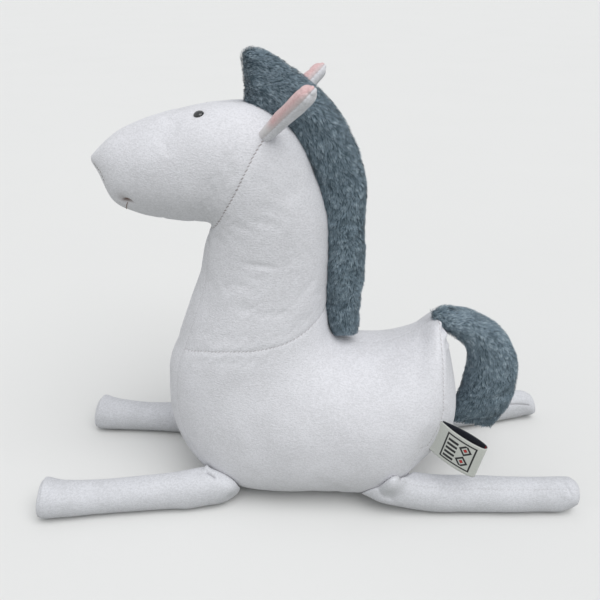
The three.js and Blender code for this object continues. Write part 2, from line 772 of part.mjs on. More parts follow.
const maneStations = [
  station(headPoint(0.256, 1.455), headPoint(0.254, 0.93), maneWidth * 0.12),
  station(headPoint(0.222, 1.475), headPoint(0.22, 0.95), maneWidth * 0.3),
  station(headPoint(0.125, 1.4), headPoint(0.15, 0.93), maneWidth * 0.43),
  station(headPoint(-0.008, 1.26), headPoint(0.06, 0.83), maneWidth * 0.49),
  station(headPoint(-0.14, 1.035), headPoint(-0.01, 0.62), maneWidth * 0.5),
  station(headPoint(-0.243, 0.735), headPoint(-0.06, 0.38), maneWidth * 0.5),
  station(headPoint(-0.308, 0.38), headPoint(-0.09, 0.1), maneWidth * 0.5),
  station(neckPoint(0.24, 1.0), neckPoint(-0.05, 0.8), maneWidth * 0.5),
  station(neckPoint(0.25, 0.6), neckPoint(-0.045, 0.5), maneWidth * 0.49),
  station(neckPoint(0.235, 0.34), neckPoint(-0.02, 0.28), maneWidth * 0.47),
  station(neckPoint(0.23, 0.15), neckPoint(0.015, 0.13), maneWidth * 0.41),
  station(neckPoint(0.225, 0.075), neckPoint(0.02, 0.07), maneWidth * 0.16),
];
const maneRings = 11;
const maneLiningRings = 7;
const maneForm = softForm(maneStations, everyStep(maneRings), limbSides);
const maneLiningForm = softForm(maneStations.slice(1, -1), everyStep(maneLiningRings), limbLiningSides);
const maneShell = solidFrom(maneForm).subtract(solidFrom(offset(maneLiningForm, -coverThickness)));
addPiece('mane_cover', maneShell.subtract(bodyClear), greyPlush);
const maneCore = solidFrom(offset(maneLiningForm, -coverThickness - seatGap));
addPiece('mane_filling', maneCore.subtract(bodyClear), fibre);

// Tail
const tailReach = 71;
const tailDrop = 105;
const tailWidth = 30;
const tailSwing = [-110, 0];
const tailHinge = bodyStations[3].upper.clone();

function tailPoint(reachShare, dropShare) {
  return new THREE.Vector2(reachShare * tailReach, -dropShare * tailDrop);
}

const tailStations = [
  station(tailPoint(-0.08, 0.01), tailPoint(-0.08, 0.07), tailWidth * 0.1),
  station(tailPoint(0.03, -0.02), tailPoint(0.02, 0.14), tailWidth * 0.26),
  station(tailPoint(0.18, -0.015), tailPoint(0.155, 0.19), tailWidth * 0.4),
  station(tailPoint(0.39, 0.01), tailPoint(0.285, 0.26), tailWidth * 0.47),
  station(tailPoint(0.61, 0.095), tailPoint(0.36, 0.37), tailWidth * 0.5),
  station(tailPoint(0.79, 0.225), tailPoint(0.37, 0.505), tailWidth * 0.51),
  station(tailPoint(0.905, 0.4), tailPoint(0.35, 0.645), tailWidth * 0.5),
  station(tailPoint(0.93, 0.595), tailPoint(0.315, 0.76), tailWidth * 0.47),
  station(tailPoint(0.875, 0.815), tailPoint(0.28, 0.86), tailWidth * 0.38),
  station(tailPoint(0.745, 1.01), tailPoint(0.252, 0.935), tailWidth * 0.13),
];
const tailFrame = frameAt(
  new THREE.Vector3(tailHinge.x, 0, tailHinge.y),
  new THREE.Vector3(1, 0, 0),
  new THREE.Vector3(0, 0, 1),
);
addLimb('tail', tailStations, tailFrame, tailSwing, greyPlush, tailLiningRings, 0);

export default horse;
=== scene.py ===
"""Looks for a stuffed plush horse lying on its belly. Lengths are in millimetres until a mesh is made."""
import bpy
import bmesh
import math
import numpy as np
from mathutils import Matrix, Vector, noise
from mathutils.bvhtree import BVHTree
from mathutils.kdtree import KDTree


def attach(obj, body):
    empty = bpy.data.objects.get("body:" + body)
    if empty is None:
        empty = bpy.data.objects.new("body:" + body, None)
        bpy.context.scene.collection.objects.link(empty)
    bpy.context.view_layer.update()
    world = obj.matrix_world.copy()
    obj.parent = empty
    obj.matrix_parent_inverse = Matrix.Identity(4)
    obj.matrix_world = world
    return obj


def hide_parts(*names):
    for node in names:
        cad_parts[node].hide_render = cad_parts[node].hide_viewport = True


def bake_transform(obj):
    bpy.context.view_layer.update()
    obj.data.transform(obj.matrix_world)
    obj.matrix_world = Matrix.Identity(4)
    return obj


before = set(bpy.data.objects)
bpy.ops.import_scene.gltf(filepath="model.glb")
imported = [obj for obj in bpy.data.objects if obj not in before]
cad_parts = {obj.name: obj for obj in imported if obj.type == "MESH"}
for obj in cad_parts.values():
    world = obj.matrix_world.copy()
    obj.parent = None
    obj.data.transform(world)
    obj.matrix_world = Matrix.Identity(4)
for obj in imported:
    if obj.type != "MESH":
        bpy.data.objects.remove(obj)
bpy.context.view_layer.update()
scene = bpy.context.scene
rng = np.random.default_rng(11)
MM = 0.001
BOTH_SIDES = ((-1, "left"), (1, "right"))

# ------------ camera and light
AZIMUTH, PITCH = math.radians(3), math.radians(25)
scene.view_settings.view_transform = "Standard"
cam_data = bpy.data.cameras.new("camera")
cam_data.sensor_width = 36
cam_data.lens = 42.41
cam = bpy.data.objects.new("camera", cam_data)
scene.collection.objects.link(cam)
cam.location = Vector((26.2, -499.3, 393.5)) * MM
look = Vector((-math.sin(AZIMUTH) * math.cos(PITCH), math.cos(AZIMUTH) * math.cos(PITCH), -math.sin(PITCH)))
cam.rotation_euler = look.to_track_quat("-Z", "Y").to_euler()
scene.camera = cam


def sun(name, from_place, strength, spread):
    data = bpy.data.lights.new(name, "SUN")
    data.energy = strength
    data.angle = math.radians(spread)
    lamp = bpy.data.objects.new(name, data)
    scene.collection.objects.link(lamp)
    lamp.rotation_euler = (-Vector(from_place)).to_track_quat("-Z", "Y").to_euler()


sun("key", (0.38, -0.5, 1.0), 1.7, 50)
sun("fill", (-0.8, -0.6, 0.7), 0.3, 80)


# ------------ materials
class Value:
    """A shader value that can be used in sums."""

    def __init__(self, nodes, socket):
        self.nodes, self.socket = nodes, socket

    def __add__(self, other):
        return self.nodes.math("ADD", self, other)

    def __sub__(self, other):
        return self.nodes.math("SUBTRACT", self, other)

    def __mul__(self, other):
        return self.nodes.math("MULTIPLY", self, other)

    def __truediv__(self, other):
        return self.nodes.math("DIVIDE", self, other)

    def __abs__(self):
        return self.nodes.math("ABSOLUTE", self)

    def fract(self):
        return self.nodes.math("FRACT", self)


class Nodes:
    """Short ways to add shader nodes."""

    def __init__(self, name, kind="materials"):
        self.data = getattr(bpy.data, kind).new(name)
        self.data.use_nodes = True
        self.tree = self.data.node_tree
        self.tree.nodes.clear()

    def add(self, kind, output=0, inputs=None, **settings):
        """An output of a new node with these settings, and with these values or sockets at its inputs."""
        node = self.tree.nodes.new(kind)
        for key, value in settings.items():
            setattr(node, key, value)
        for key, value in (inputs or {}).items():
            if isinstance(value, Value):
                self.tree.links.new(value.socket, node.inputs[key])
            elif value is not None:
                node.inputs[key].default_value = value
        return Value(self, node.outputs[output])

    def math(self, operation, *values):
        return self.add("ShaderNodeMath", 0, dict(enumerate(values)), operation=operation)

    def attr(self, name):
        return self.add("ShaderNodeAttribute", "Fac", attribute_name=name)

    def noise(self, scale, detail=2.0, rough=0.5, stretch=(1, 1, 1)):
        coord = self.add("ShaderNodeTexCoord", "Object")
        place = self.add("ShaderNodeVectorMath", 0, {0: coord, 1: stretch}, operation="MULTIPLY")
        inputs = {"Vector": place, "Scale": scale, "Detail": detail, "Roughness": rough}
        return self.add("ShaderNodeTexNoise", "Fac", inputs)

    def smooth(self, value, low, high, start=0.0, end=1.0):
        inputs = {"Value": value, "From Min": low, "From Max": high, "To Min": start, "To Max": end}
        return self.add("ShaderNodeMapRange", "Result", inputs, interpolation_type="SMOOTHSTEP")

    def mix(self, share, a, b):
        return self.add("ShaderNodeMix", 2, {0: share, 6: a, 7: b}, data_type="RGBA")

    def bump(self, height, distance, strength, normal=None):
        inputs = {"Strength": strength, "Distance": distance, "Height": height, "Normal": normal}
        return self.add("ShaderNodeBump", "Normal", inputs)

    def close(self, shader, output="ShaderNodeOutputMaterial"):
        self.tree.links.new(shader.socket, self.tree.nodes.new(output).inputs[0])
        return self.data

    def finish(self, color, roughness, normal=None, **sockets):
        inputs = {"Base Color": color, "Roughness": roughness, "Normal": normal}
        inputs |= {key.replace("_", " "): value for key, value in sockets.items()}
        return self.close(self.add("ShaderNodeBsdfPrincipled", 0, inputs))


def srgb(*levels):
    def lin(v):
        v /= 255
        return v / 12.92 if v <= 0.04045 else ((v + 0.055) / 1.055) ** 2.4
    return (*map(lin, levels), 1.0)


STITCH_PITCH = 3.0


def velour(name, dark, light, sheen_pale=None, shade_color=(112, 84, 70)):
    """Short-napped cloth: a fine grain with level marks of the nap, slanting stitches along the seams, and a
    whitish painted sheen and painted shade mixed into its colour.
    """
    n = Nodes(name)
    nap = n.noise(380, 2, 0.6, (1, 1, 2.4))
    grain = n.noise(760, 2, 0.7, (1, 1, 1.4))
    blend = n.noise(38) * 0.22 + (nap * 0.28 + grain * 0.5)
    color = n.mix(n.smooth(blend, 0.37, 0.63), srgb(*dark), srgb(*light))
    # painted sheen: where the pink mask is low, the cloth turns to the whitish colour
    if sheen_pale:
        color = n.mix(n.attr("pink_vs_sheen"), srgb(*sheen_pale), color)
    off, strength = n.attr("seam"), n.attr("stitch")
    beat = (n.noise(300, 1) * 0.9 + n.attr("seam_along") / STITCH_PITCH).fract() - 0.5
    slant = abs(off - beat * 1.5)
    dash = n.smooth(abs(beat), 0.24, 0.36, 1, 0) * n.smooth(slant, 0.2, 0.62, 1, 0)
    line = n.smooth(abs(off), 0.1, 0.6, 1, 0)
    color = n.mix(strength * n.math("MAXIMUM", dash, line * 0.26), color, srgb(132, 121, 118))
    # painted shade: the attribute darkens the cloth towards the shade colour in the mouth pit, in leg creases
    # and where the legs meet the body
    color = n.mix(n.attr("painted_shade"), color, srgb(*shade_color))
    fine = n.bump(grain * 0.6 + nap * 0.6, 0.0005, 0.9)
    tight = n.bump(dash * strength, 0.0004, -0.7, fine)
    return n.finish(color, 0.92, tight, Sheen_Weight=0.3, Sheen_Roughness=0.5, Specular_IOR_Level=0.15)


def plush_backing():
    n = Nodes("grey_plush_backing")
    tone = n.noise(600, 2, 0.6) * 0.5 + n.noise(90) * 0.4
    color = n.mix(n.smooth(tone, 0.25, 0.75), srgb(68, 83, 93), srgb(106, 124, 135))
    return n.finish(color, 0.95, n.bump(tone, 0.0008, 0.8), Sheen_Weight=0.2, Specular_IOR_Level=0.1)


def plush_pile():
    n = Nodes("grey_plush_pile")
    # the tone attribute carries painted shade at the blades' roots and a painted highlight at their tips
    patch = n.noise(55) * 0.3 + (n.attr("tone") - 0.15)
    color = n.mix(n.smooth(patch, 0.0, 0.5), srgb(76, 92, 102), srgb(126, 145, 157))
    color = n.mix(n.smooth(patch, 0.5, 1.0), color, srgb(178, 195, 206))
    return n.finish(color, 0.75, Sheen_Weight=0.25, Sheen_Roughness=0.4, Specular_IOR_Level=0.25)


def eye_gloss():
    n = Nodes("eye_black")
    haze = n.noise(900, 3, 0.6)
    color = n.mix(haze, srgb(6, 7, 9), srgb(16, 18, 22))
    return n.finish(color, haze * 0.1 + 0.2, Coat_Weight=0.5, Coat_Roughness=0.12)


def moulded():
    n = Nodes("washer_plastic")
    grain = n.noise(1600)
    color = n.mix(grain, srgb(214, 210, 202), srgb(232, 229, 222))
    return n.finish(color, 0.5, n.bump(grain, 0.00008, 0.4))


def sewing_thread():
    n = Nodes("mouth_thread")
    ply = n.noise(2500, 2, 0.6)
    color = n.mix(ply, srgb(104, 82, 72), srgb(148, 122, 108))
    return n.finish(color, 0.8, n.bump(ply, 0.0002, 0.5), Sheen_Weight=0.2)


def label_cloth():
    """Off-white satin tape with a plain woven panel of lozenges, and its dark reverse side."""
    n = Nodes("label_tape")
    u, v = n.attr("tape_u"), n.attr("tape_v")
    weave = n.math("SINE", u * 14.0) * n.math("SINE", v * 14.0)
    grain = n.noise(900, 2, 0.6)
    cloth = n.mix(weave * 0.1 + grain, srgb(196, 199, 193), srgb(218, 220, 214))
    left, parting, right, half, pitch = 12.7, 22.3, 33.3, 9.7, 11.0

    def inside(value, low, high, soft=0.12):
        return n.smooth(value, low - soft, low + soft) * n.smooth(value, high - soft, high + soft, 1, 0)

    def box(u0, u1, v_half):
        return inside(u, u0, u1) * inside(v, -v_half, v_half)

    def lozenges(low, high):
        """Rings of lozenges on a square lattice in the right part, between two sizes."""
        size = abs(((u - parting) / pitch).fract() - 0.5) + abs(((v + pitch) / pitch).fract() - 0.5)
        return inside(size, low, high, 0.02) * box(parting, right, half)

    ring = box(10.4, 35.6, 12.0) - box(11.7, 34.3, 10.7)
    bars = box(left, 21.5, half) * inside(((v + half) / 3.88).fract(), -0.1, 0.56, 0.03)
    motif = box(left, right, half) * (bars + (lozenges(-1.0, 0.49) - lozenges(0.17, 0.29)))
    face = n.mix(n.math("MINIMUM", ring + motif, 1.0), cloth, srgb(26, 26, 29))
    face = n.mix(lozenges(-1.0, 0.14), face, srgb(188, 48, 46))
    lining = n.mix(grain, srgb(20, 24, 34), srgb(38, 43, 56))
    mark = inside(abs(u - 43.5), -1.0, 2.2) * inside(abs(v), 6.0, 14.2)
    lining = n.mix(mark, lining, srgb(150, 40, 42))
    color = n.mix(n.attr("tape_inside"), face, lining)
    return n.finish(color, 0.75, n.bump(weave, 0.00006, 0.5), Sheen_Weight=0.1)


def floor_material():
    """Pale where it is seen, and darker for the light that it throws back."""
    n = Nodes("pale_floor")
    seen = n.mix(n.noise(3, 3), (0.80, 0.80, 0.79, 1), (0.82, 0.82, 0.81, 1))
    color = n.mix(n.add("ShaderNodeLightPath", "Is Diffuse Ray"), seen, (0.42, 0.43, 0.41, 1))
    return n.finish(color, 0.9, Specular_IOR_Level=0.1)


WHITE = velour("white_velour", (214, 214, 218), (232, 232, 237))
# the legs wear the white velour painted a little darker, as painted shade; their grey-violet shade colour
# paints the shade in creases and where they meet the body
LEG_SHADED_WHITE = velour("leg_velour_shaded", (203, 204, 208), (221, 222, 227), shade_color=(98, 94, 100))
PINK = velour("pink_velour", (214, 176, 176), (232, 199, 199), sheen_pale=(222, 219, 220))
PLUSH_BASE, PLUSH_PILE = plush_backing(), plush_pile()
EYE, WASHER, THREAD, LABEL = eye_gloss(), moulded(), sewing_thread(), label_cloth()

# ------------ floor and background
bpy.ops.mesh.primitive_plane_add(size=120, location=(0, 0, -0.0003))
floor = bpy.context.object
floor.name = "floor"
floor.data.materials.append(floor_material())

SKY_LIGHT, SKY_SEEN = 0.5, 0.86
sky = Nodes("studio", "worlds")
scene.world = sky.data
seen = sky.add("ShaderNodeLightPath", "Is Camera Ray")
for ray in ("Is Glossy Ray", "Is Transmission Ray"):
    seen = sky.math("MAXIMUM", seen, sky.add("ShaderNodeLightPath", ray))
glow = {"Color": (0.96, 0.98, 1.0, 1), "Strength": seen * (SKY_SEEN - SKY_LIGHT) + SKY_LIGHT}
sky.close(sky.add("ShaderNodeBackground", 0, glow), "ShaderNodeOutputWorld")

# ------------ named sizes
CHEST, RUMP, BACK, TORSO_W, GUSSET_W = 110, 129, 126, 132, 106
WITHERS, NECK_D, NECK_W, NECK_RISE = 22.5, 103, 84, 101
HEAD_L, HEAD_D, HEAD_W = 149, 80, 88
REST = 0.5


def torso(a, b):
    return (a * (RUMP if a > 0 else CHEST), b * BACK)


def neck(a, b):
    return (WITHERS + a * NECK_D, BACK + b * NECK_RISE)


def head(a, b):
    return (-a * HEAD_L, BACK + NECK_RISE + b * HEAD_D)


def stations(at, width, rows):
    """Sections of a stuffed form from rows of upper place, lower place, half width and maybe fullness."""
    return [(*at(*upper), *at(*lower), width * half, *(full or (2.2, 2.2)))
            for upper, lower, half, *full in rows]


DROP = -REST / BACK
BODY = stations(torso, TORSO_W, [
    ((0.99, 0.62), (0.988, 0.53), 0.03),
    ((0.96, 0.81), (0.935, 0.4), 0.26),
    ((0.905, 1.03), (0.83, 0.24), 0.36, 2, 1.9),
    ((0.84, 1.225), (0.71, 0.095), 0.415, 1.55, 2),
    ((0.715, 1.105), (0.59, 0.01), 0.465, 1.8, 2.35),
    ((0.54, 1.015), (0.42, DROP), 0.495, 2.1, 2.6),
    ((0.35, 1.0), (0.14, DROP), 0.5, 2.2, 2.6),
    ((0.245, 1.03), (-0.24, DROP), 0.495, 2.2, 2.8),
    ((0.205, 1.075), (-0.55, 0.018), 0.475, 2.2, 2.6),
    ((0.183, 1.13), (-0.81, 0.175), 0.44, 2.2, 2.4),
    ((0.176, 1.2), (-0.965, 0.45), 0.405),
]) + stations(neck, NECK_W, [
    ((-0.005, 0.35), (-1.25, -0.22), 0.59),
    ((0, 0.49), (-1.16, 0.05), 0.555),
    ((0.005, 0.65), (-1.06, 0.32), 0.52),
    ((0.008, 0.83), (-0.965, 0.58), 0.5),
    ((-0.005, 1.06), (-0.92, 0.79), 0.5),
]) + stations(head, HEAD_W, [
    ((-0.09, 0.43), (0.458, -0.12), 0.485),
    ((0.015, 0.82), (0.445, -0.025), 0.5),
    ((0.185, 1.04), (0.48, -0.01), 0.5),
    ((0.385, 1.055), (0.565, -0.01), 0.495),
    ((0.58, 0.985), (0.69, 0.015), 0.45),
    ((0.75, 0.9), (0.8, 0.055), 0.38),
    ((0.885, 0.79), (0.905, 0.145), 0.28),
    ((0.968, 0.66), (0.965, 0.365), 0.15),
    ((1.006, 0.565), (1.003, 0.505), 0.03),
])
TAIL_ROOT = np.array([BODY[3][0], 0, BODY[3][1]])


# ------------ helpers
def length_of(v):
    return np.linalg.norm(v, axis=-1)


def unit(v):
    return v / np.maximum(np.linalg.norm(v, axis=-1, keepdims=True), 1e-9)


def run_along(line):
    """How far along a line each of its points lies."""
    return np.concatenate([[0], np.cumsum(length_of(np.diff(line, axis=0)))])


def bell(x, width):
    return np.exp(-(x / width) ** 2)


def spline(table, share):
    """Catmull-Rom through the rows of a table, at a share or for a number of even shares."""
    table = np.asarray(table, float)
    last = len(table) - 1
    share = np.linspace(0, 1, share) if isinstance(share, int) else np.asarray(share, float)
    p = np.clip(share, 0, 1) * last
    i = np.floor(p).astype(int)
    w = (p - i)[..., None]
    p0, p1, p2, p3 = (table[np.clip(i + k, 0, last)] for k in (-1, 0, 1, 2))
    v0, v1 = (p2 - p0) / 2, (p3 - p1) / 2
    return (2 * p1 - 2 * p2 + v0 + v1) * w**3 + (-3 * p1 + 3 * p2 - 2 * v0 - v1) * w**2 + v0 * w + p1


def skin(table, u, angle):
    """Points of a stuffed form at shares u along it and angles round it."""
    s = spline(table, u)
    upper, lower = s[..., 0:2], s[..., 2:4]
    middle = (upper + lower) / 2
    rise, out = np.cos(angle), np.sin(angle)
    power = 2 / np.where(rise > 0, s[..., 5], s[..., 6])
    end = np.where((rise > 0)[..., None], upper, lower)
    place = middle + (end - middle) * (np.abs(rise) ** power)[..., None]
    y = np.sign(out) * s[..., 4] * np.abs(out) ** power
    return np.stack([place[..., 0], y, place[..., 1]], -1)


def even_grid(table, rings, sides):
    """Shares along a form and angles round it that space its rings and sides evenly."""
    fine = np.linspace(0, 1, 1500)
    s = spline(table, fine)
    total = (run_along(s[:, 0:2]) + run_along(s[:, 2:4])) / 2
    u = np.interp(np.linspace(0, total[-1], rings), total, fine)[:, None]
    fine = np.linspace(0, math.pi, 721)
    angles = np.zeros((rings, sides))
    for r, ring in enumerate(skin(table, u + 0 * fine, fine + 0 * u)):
        total = run_along(ring)
        a = np.interp(np.linspace(0, total[-1], sides // 2 + 1), total, fine)
        angles[r] = np.concatenate([a, 2 * math.pi - a[-2:0:-1]])
    return u + 0 * angles, angles


def grid_normals(grid):
    """Outward normals of a grid, and its steps along and around."""
    along = np.gradient(grid, axis=0)
    around = (np.roll(grid, -1, axis=1) - np.roll(grid, 1, axis=1)) / 2
    n = unit(np.cross(along, around))
    return -n if np.sum(n * (grid - grid.mean(axis=1, keepdims=True))) < 0 else n, along, around


def grid_faces(grid):
    """Quads of a grid that is closed round, turned so that they face out of the form."""
    i = np.arange(grid.shape[0] * grid.shape[1]).reshape(grid.shape[:2])
    a, b = i[:-1], i[1:]
    quads = np.stack([a, b, np.roll(b, -1, 1), np.roll(a, -1, 1)], -1).reshape(-1, 4)
    p = grid.reshape(-1, 3)[quads]
    n = np.cross(p[:, 1] - p[:, 0], p[:, 2] - p[:, 0])
    out = p.mean(1) - grid.mean(1)[quads[:, 0] // grid.shape[1]]
    return quads if np.sum(n * out) > 0 else quads[:, ::-1]


def make_mesh(name, verts, faces, mat, attributes=None):
    mesh = bpy.data.meshes.new(name)
    mesh.from_pydata((np.asarray(verts) * MM).reshape(-1, 3).tolist(), [], faces)
    mesh.update()
    obj = bpy.data.objects.new(name, mesh)
    scene.collection.objects.link(obj)
    mesh.materials.append(mat)
    for key, values in (attributes or {}).items():
        data = mesh.attributes.new(key, "FLOAT", "POINT").data
        data.foreach_set("value", np.asarray(values, np.float32).reshape(-1))
    mesh.polygons.foreach_set("use_smooth", np.ones(len(mesh.polygons), bool))
    return obj


def grid_mesh(name, grid, mat, attributes=None):
    return make_mesh(name, grid, grid_faces(grid).tolist(), mat, attributes)


def part_mesh(name, verts, faces, mat, attributes):
    """A mesh of some of the faces, with only the points that they use."""
    used, inverse = np.unique(np.concatenate([np.array(f) for f in faces]), return_inverse=True)
    own, i = [], 0
    for f in faces:
        own.append(inverse[i:i + len(f)].tolist())
        i += len(f)
    return make_mesh(name, verts[used], own, mat, {k: v.reshape(-1)[used] for k, v in attributes.items()})


def lumps(points, scale, seed):
    """Smooth noise from -1 to 1 at each point."""
    shift = Vector((seed * 7.3, seed * 3.1, seed * 5.7))
    flat = points.reshape(-1, 3) / scale
    return np.array([noise.noise(Vector(p) + shift) for p in flat]).reshape(points.shape[:-1])


def bumps(points, rows, flip=1, drop=0):
    """Soft rises and, with a minus amount, hollows.

    Each row is a place, an amount and a size, and for a long one its run and direction too. flip mirrors
    them, and drop lowers them.
    """
    total = 0
    for (x, y, z), amount, size, *run in rows:
        off = points - np.array([x, y * flip, z - drop], float)
        across, along = np.sum(off * off, -1), 0
        if run:
            along = (off @ unit(np.array([run[1][0], run[1][1] * flip, run[1][2]], float))) ** 2
            across, along = across - along, along / run[0] ** 2
        total = total + amount * np.exp(-across / size**2 - along)
    return total


def path_distance(points, path, turn=None, endless=False):
    """Distance from points to a path, and how far along the path the nearest place is.

    turn(direction, offset) gives the distance its sign. An endless path goes on straight past its ends.
    """
    path = np.asarray(path, float)
    best = np.full(points.shape[:-1], 1e9)
    sign, along, last = np.ones_like(best), np.zeros_like(best), len(path) - 2
    for i, (start, d, run) in enumerate(zip(path, np.diff(path, axis=0), run_along(path))):
        length = np.linalg.norm(d)
        t = (points - start) @ d / length**2
        t = np.clip(t, -1e3 if endless and i == 0 else 0, 1e3 if endless and i == last else 1)
        off = points - start - t[..., None] * d
        dist = length_of(off)
        near = dist < best
        best = np.where(near, dist, best)
        along = np.where(near, run + t * length, along)
        if turn:
            sign = np.where(near, np.sign(turn(d, off)), sign)
    return best * sign, along


def seam_distance(points, line):
    """Signed distance to a seam in the side view, and the place along it."""
    def turn(d, off):
        return d[0] * off[..., 1] - d[1] * off[..., 0]
    return path_distance(points[..., [0, 2]], line, turn, True)


def resample(field, rings, sides):
    """A coarse grid's values on a finer grid of the same form."""
    count = field.shape[1]
    rows = spline(field.reshape(len(field), -1), rings).reshape(rings, count, 3)
    turned = rows.transpose(1, 0, 2).reshape(count, -1)
    wrapped = np.concatenate([turned[-2:], turned, turned[:3]])
    share = (np.arange(sides) / sides * count + 2) / (len(wrapped) - 1)
    return spline(wrapped, share).reshape(sides, rings, 3).transpose(1, 0, 2)


CLOTH = {
    "quality": 5, "mass": 0.15, "tension_stiffness": 10, "compression_stiffness": 10, "shear_stiffness": 4,
    "bending_stiffness": 0.05, "air_damping": 2, "use_pressure": True, "uniform_pressure_force": 4.0,
    "vertex_group_mass": "held",
}
FRAMES = 20


def swell(grid, held, shrink, cap):
    """Blows a closed grid up as cloth held along its seams. Returns how far each point moved."""
    count, sides = grid.shape[0] * grid.shape[1], grid.shape[1]
    verts = np.concatenate([grid.reshape(-1, 3), [grid[0].mean(0)], [grid[-1].mean(0)]])
    caps = [[count, k, (k + 1) % sides] for k in range(sides)]
    caps += [[count + 1, count - sides + (k + 1) % sides, count - sides + k] for k in range(sides)]
    obj = make_mesh("swelling", verts, grid_faces(grid).tolist() + caps, WHITE)
    bm = bmesh.new()
    bm.from_mesh(obj.data)
    bmesh.ops.recalc_face_normals(bm, faces=bm.faces)
    bm.to_mesh(obj.data)
    bm.free()
    pins = obj.vertex_groups.new(name="held")
    pins.add(np.flatnonzero(np.append(held, [True, True])).tolist(), 1.0, "REPLACE")
    cloth = obj.modifiers.new("cloth", "CLOTH")
    for key, value in CLOTH.items():
        setattr(cloth.settings, key, value)
    cloth.settings.shrink_min = shrink
    cloth.settings.effector_weights.gravity = 0
    cloth.collision_settings.use_collision = False
    cloth.point_cache.frame_start, cloth.point_cache.frame_end = 1, FRAMES
    for f in range(1, FRAMES + 1):
        scene.frame_set(f)
    after = obj.evaluated_get(bpy.context.evaluated_depsgraph_get()).data
    out = np.empty(len(verts) * 3)
    after.vertices.foreach_get("co", out)
    moved = (out.reshape(-1, 3) / MM - verts)[:count]
    bpy.data.objects.remove(obj, do_unlink=True)
    scene.frame_set(1)
    moved = moved * np.minimum(1, cap / np.maximum(length_of(moved), 1e-9))[:, None]
    return moved.reshape(grid.shape)


# ------------ body
RINGS, SIDES = 420, 200
HEAD_SEAM = spline([head(0.04, 1.6), head(0.1, 1.0), head(0.19, 0.7), head(0.257, 0.46), head(0.311, 0.28),
                    head(0.413, 0.0), head(0.545, -0.16), head(0.8, -0.3)], 90)
NECK_SEAM = spline([neck(-1.5, 0.02), neck(-1.1, 0.045), neck(-0.9, 0.095), neck(-0.7, 0.125),
                    neck(-0.5, 0.145), neck(-0.25, 0.2), neck(0, 0.34), neck(0.4, 0.6)], 90)
RUMP_SEAM = spline([torso(0.79, 1.4), torso(0.832, 1.19), torso(0.85, 1.04), torso(0.862, 0.82),
                    torso(0.857, 0.69), torso(0.79, 0.49), torso(0.68, 0.28), torso(0.58, 0.12),
                    torso(0.5, -0.1)], 110)
# the strip under the horse: stations whose lower places it follows, and its width there as a share
STRIP = [(1, 1), (2, 0.98), (4, 0.92), (6, 0.8), (8, 0.86), (9, 0.78), (10, 0.66), (12, 0.55), (14, 0.47),
         (16, 0.38)]
STRIP_RUN = 500  # places along the strip's edges count from here, to tell them from the rump seam's
HEART = np.array(torso(0, 0.87))


def strip_side(pts):
    """Positive inside the long strip under the horse; also how far along its edge the nearest place is."""
    path = spline([BODY[i][2:4] for i, _ in STRIP], 300)
    width = spline([[w] for _, w in STRIP], 300)[:, 0] * GUSSET_W / 2
    turn = np.unwrap(np.arctan2(*(path - HEART).T[::-1]))
    off = pts[..., [0, 2]] - HEART
    here = np.arctan2(off[..., 1], off[..., 0])
    here = np.where(here > turn[0] + 0.6, here - 2 * math.pi, here)
    order = np.argsort(turn)
    w, run, radius = (np.interp(here, turn[order], v[order])
                      for v in (width, run_along(path), length_of(path - HEART)))
    far = length_of(off)
    ends = np.minimum((here - turn[-1]) * far, 40.0)
    inside = np.minimum(np.minimum(w - np.abs(pts[..., 1]), ends), 0.35 * radius - np.abs(far - radius))
    inside = np.where(here > turn[0], -60.0, inside)
    edge, edge_run = seam_distance(pts, RUMP_SEAM)
    return np.where(inside > edge, inside, edge), np.where(inside > edge, run + STRIP_RUN, edge_run)


def zones(pts):
    """How far points lie inside the head, the neck and the strip, each with the place along its seam."""
    off, run = seam_distance(pts, HEAD_SEAM)
    return (-off, run, *seam_distance(pts, NECK_SEAM), *strip_side(pts))


def snap(u, angle, value):
    """Moves the nearer end of every grid edge that crosses zero onto the crossing."""
    best = np.full(value.shape, 9.0)
    du, da = np.zeros(value.shape), np.zeros(value.shape)
    for axis in (0, 1):
        after = np.roll(value, -1, axis)
        t = value / np.where(value == after, 1e9, value - after)
        cross = value * after < 0
        step, turn = np.roll(u, -1, axis) - u, np.roll(angle, -1, axis) - angle
        if axis == 0:
            cross[-1] = False
        else:
            step, turn = 0 * step, turn % (2 * math.pi)
        for first in (True, False):
            part = t if first else t - 1
            found = (cross & ((t < 0.5) == first), np.abs(part), step * part, turn * part)
            take, amount, *shifts = found if first else (np.roll(v, 1, axis) for v in found)
            if axis == 1:
                take[:, [0, SIDES // 2]] = False
            better = take & (amount < best)
            best = np.where(better, amount, best)
            du, da = (np.where(better, new, old) for new, old in zip(shifts, (du, da)))
    return u + du, angle + da, best < 1


U, A = even_grid(BODY, RINGS, SIDES)
pts = skin(BODY, U, A)
on_seam = {}
for index in (4, 2, 0):
    U, A, on_seam[index] = snap(U, A, zones(pts)[index])
    pts = skin(BODY, U, A)
in_head, head_run, in_neck, neck_run, in_strip, strip_run = (
    np.where(on_seam[k], 0, v) if k in on_seam else v for k, v in enumerate(zones(pts)))
normals, tan_u, tan_v = grid_normals(pts)


def surface_distance(value):
    """A side-view distance turned into one along the skin."""
    fu = np.gradient(value, axis=0)
    fv = (np.roll(value, -1, axis=1) - np.roll(value, 1, axis=1)) / 2
    e, f, k = (np.sum(p * q, -1) for p, q in ((tan_u, tan_u), (tan_u, tan_v), (tan_v, tan_v)))
    square = (k * fu * fu - 2 * f * fu * fv + e * fv * fv) / np.maximum(e * k - f * f, 1e-9)
    return np.abs(value / np.clip(np.sqrt(np.maximum(square, 1e-9)), 0.35, 1.5))


def at_share(u, turn, side):
    """A place on the body's form, at a share of its length and of the way from the top to the bottom."""
    return skin(BODY, np.array([u]), np.array([turn * math.pi * side]))[0]


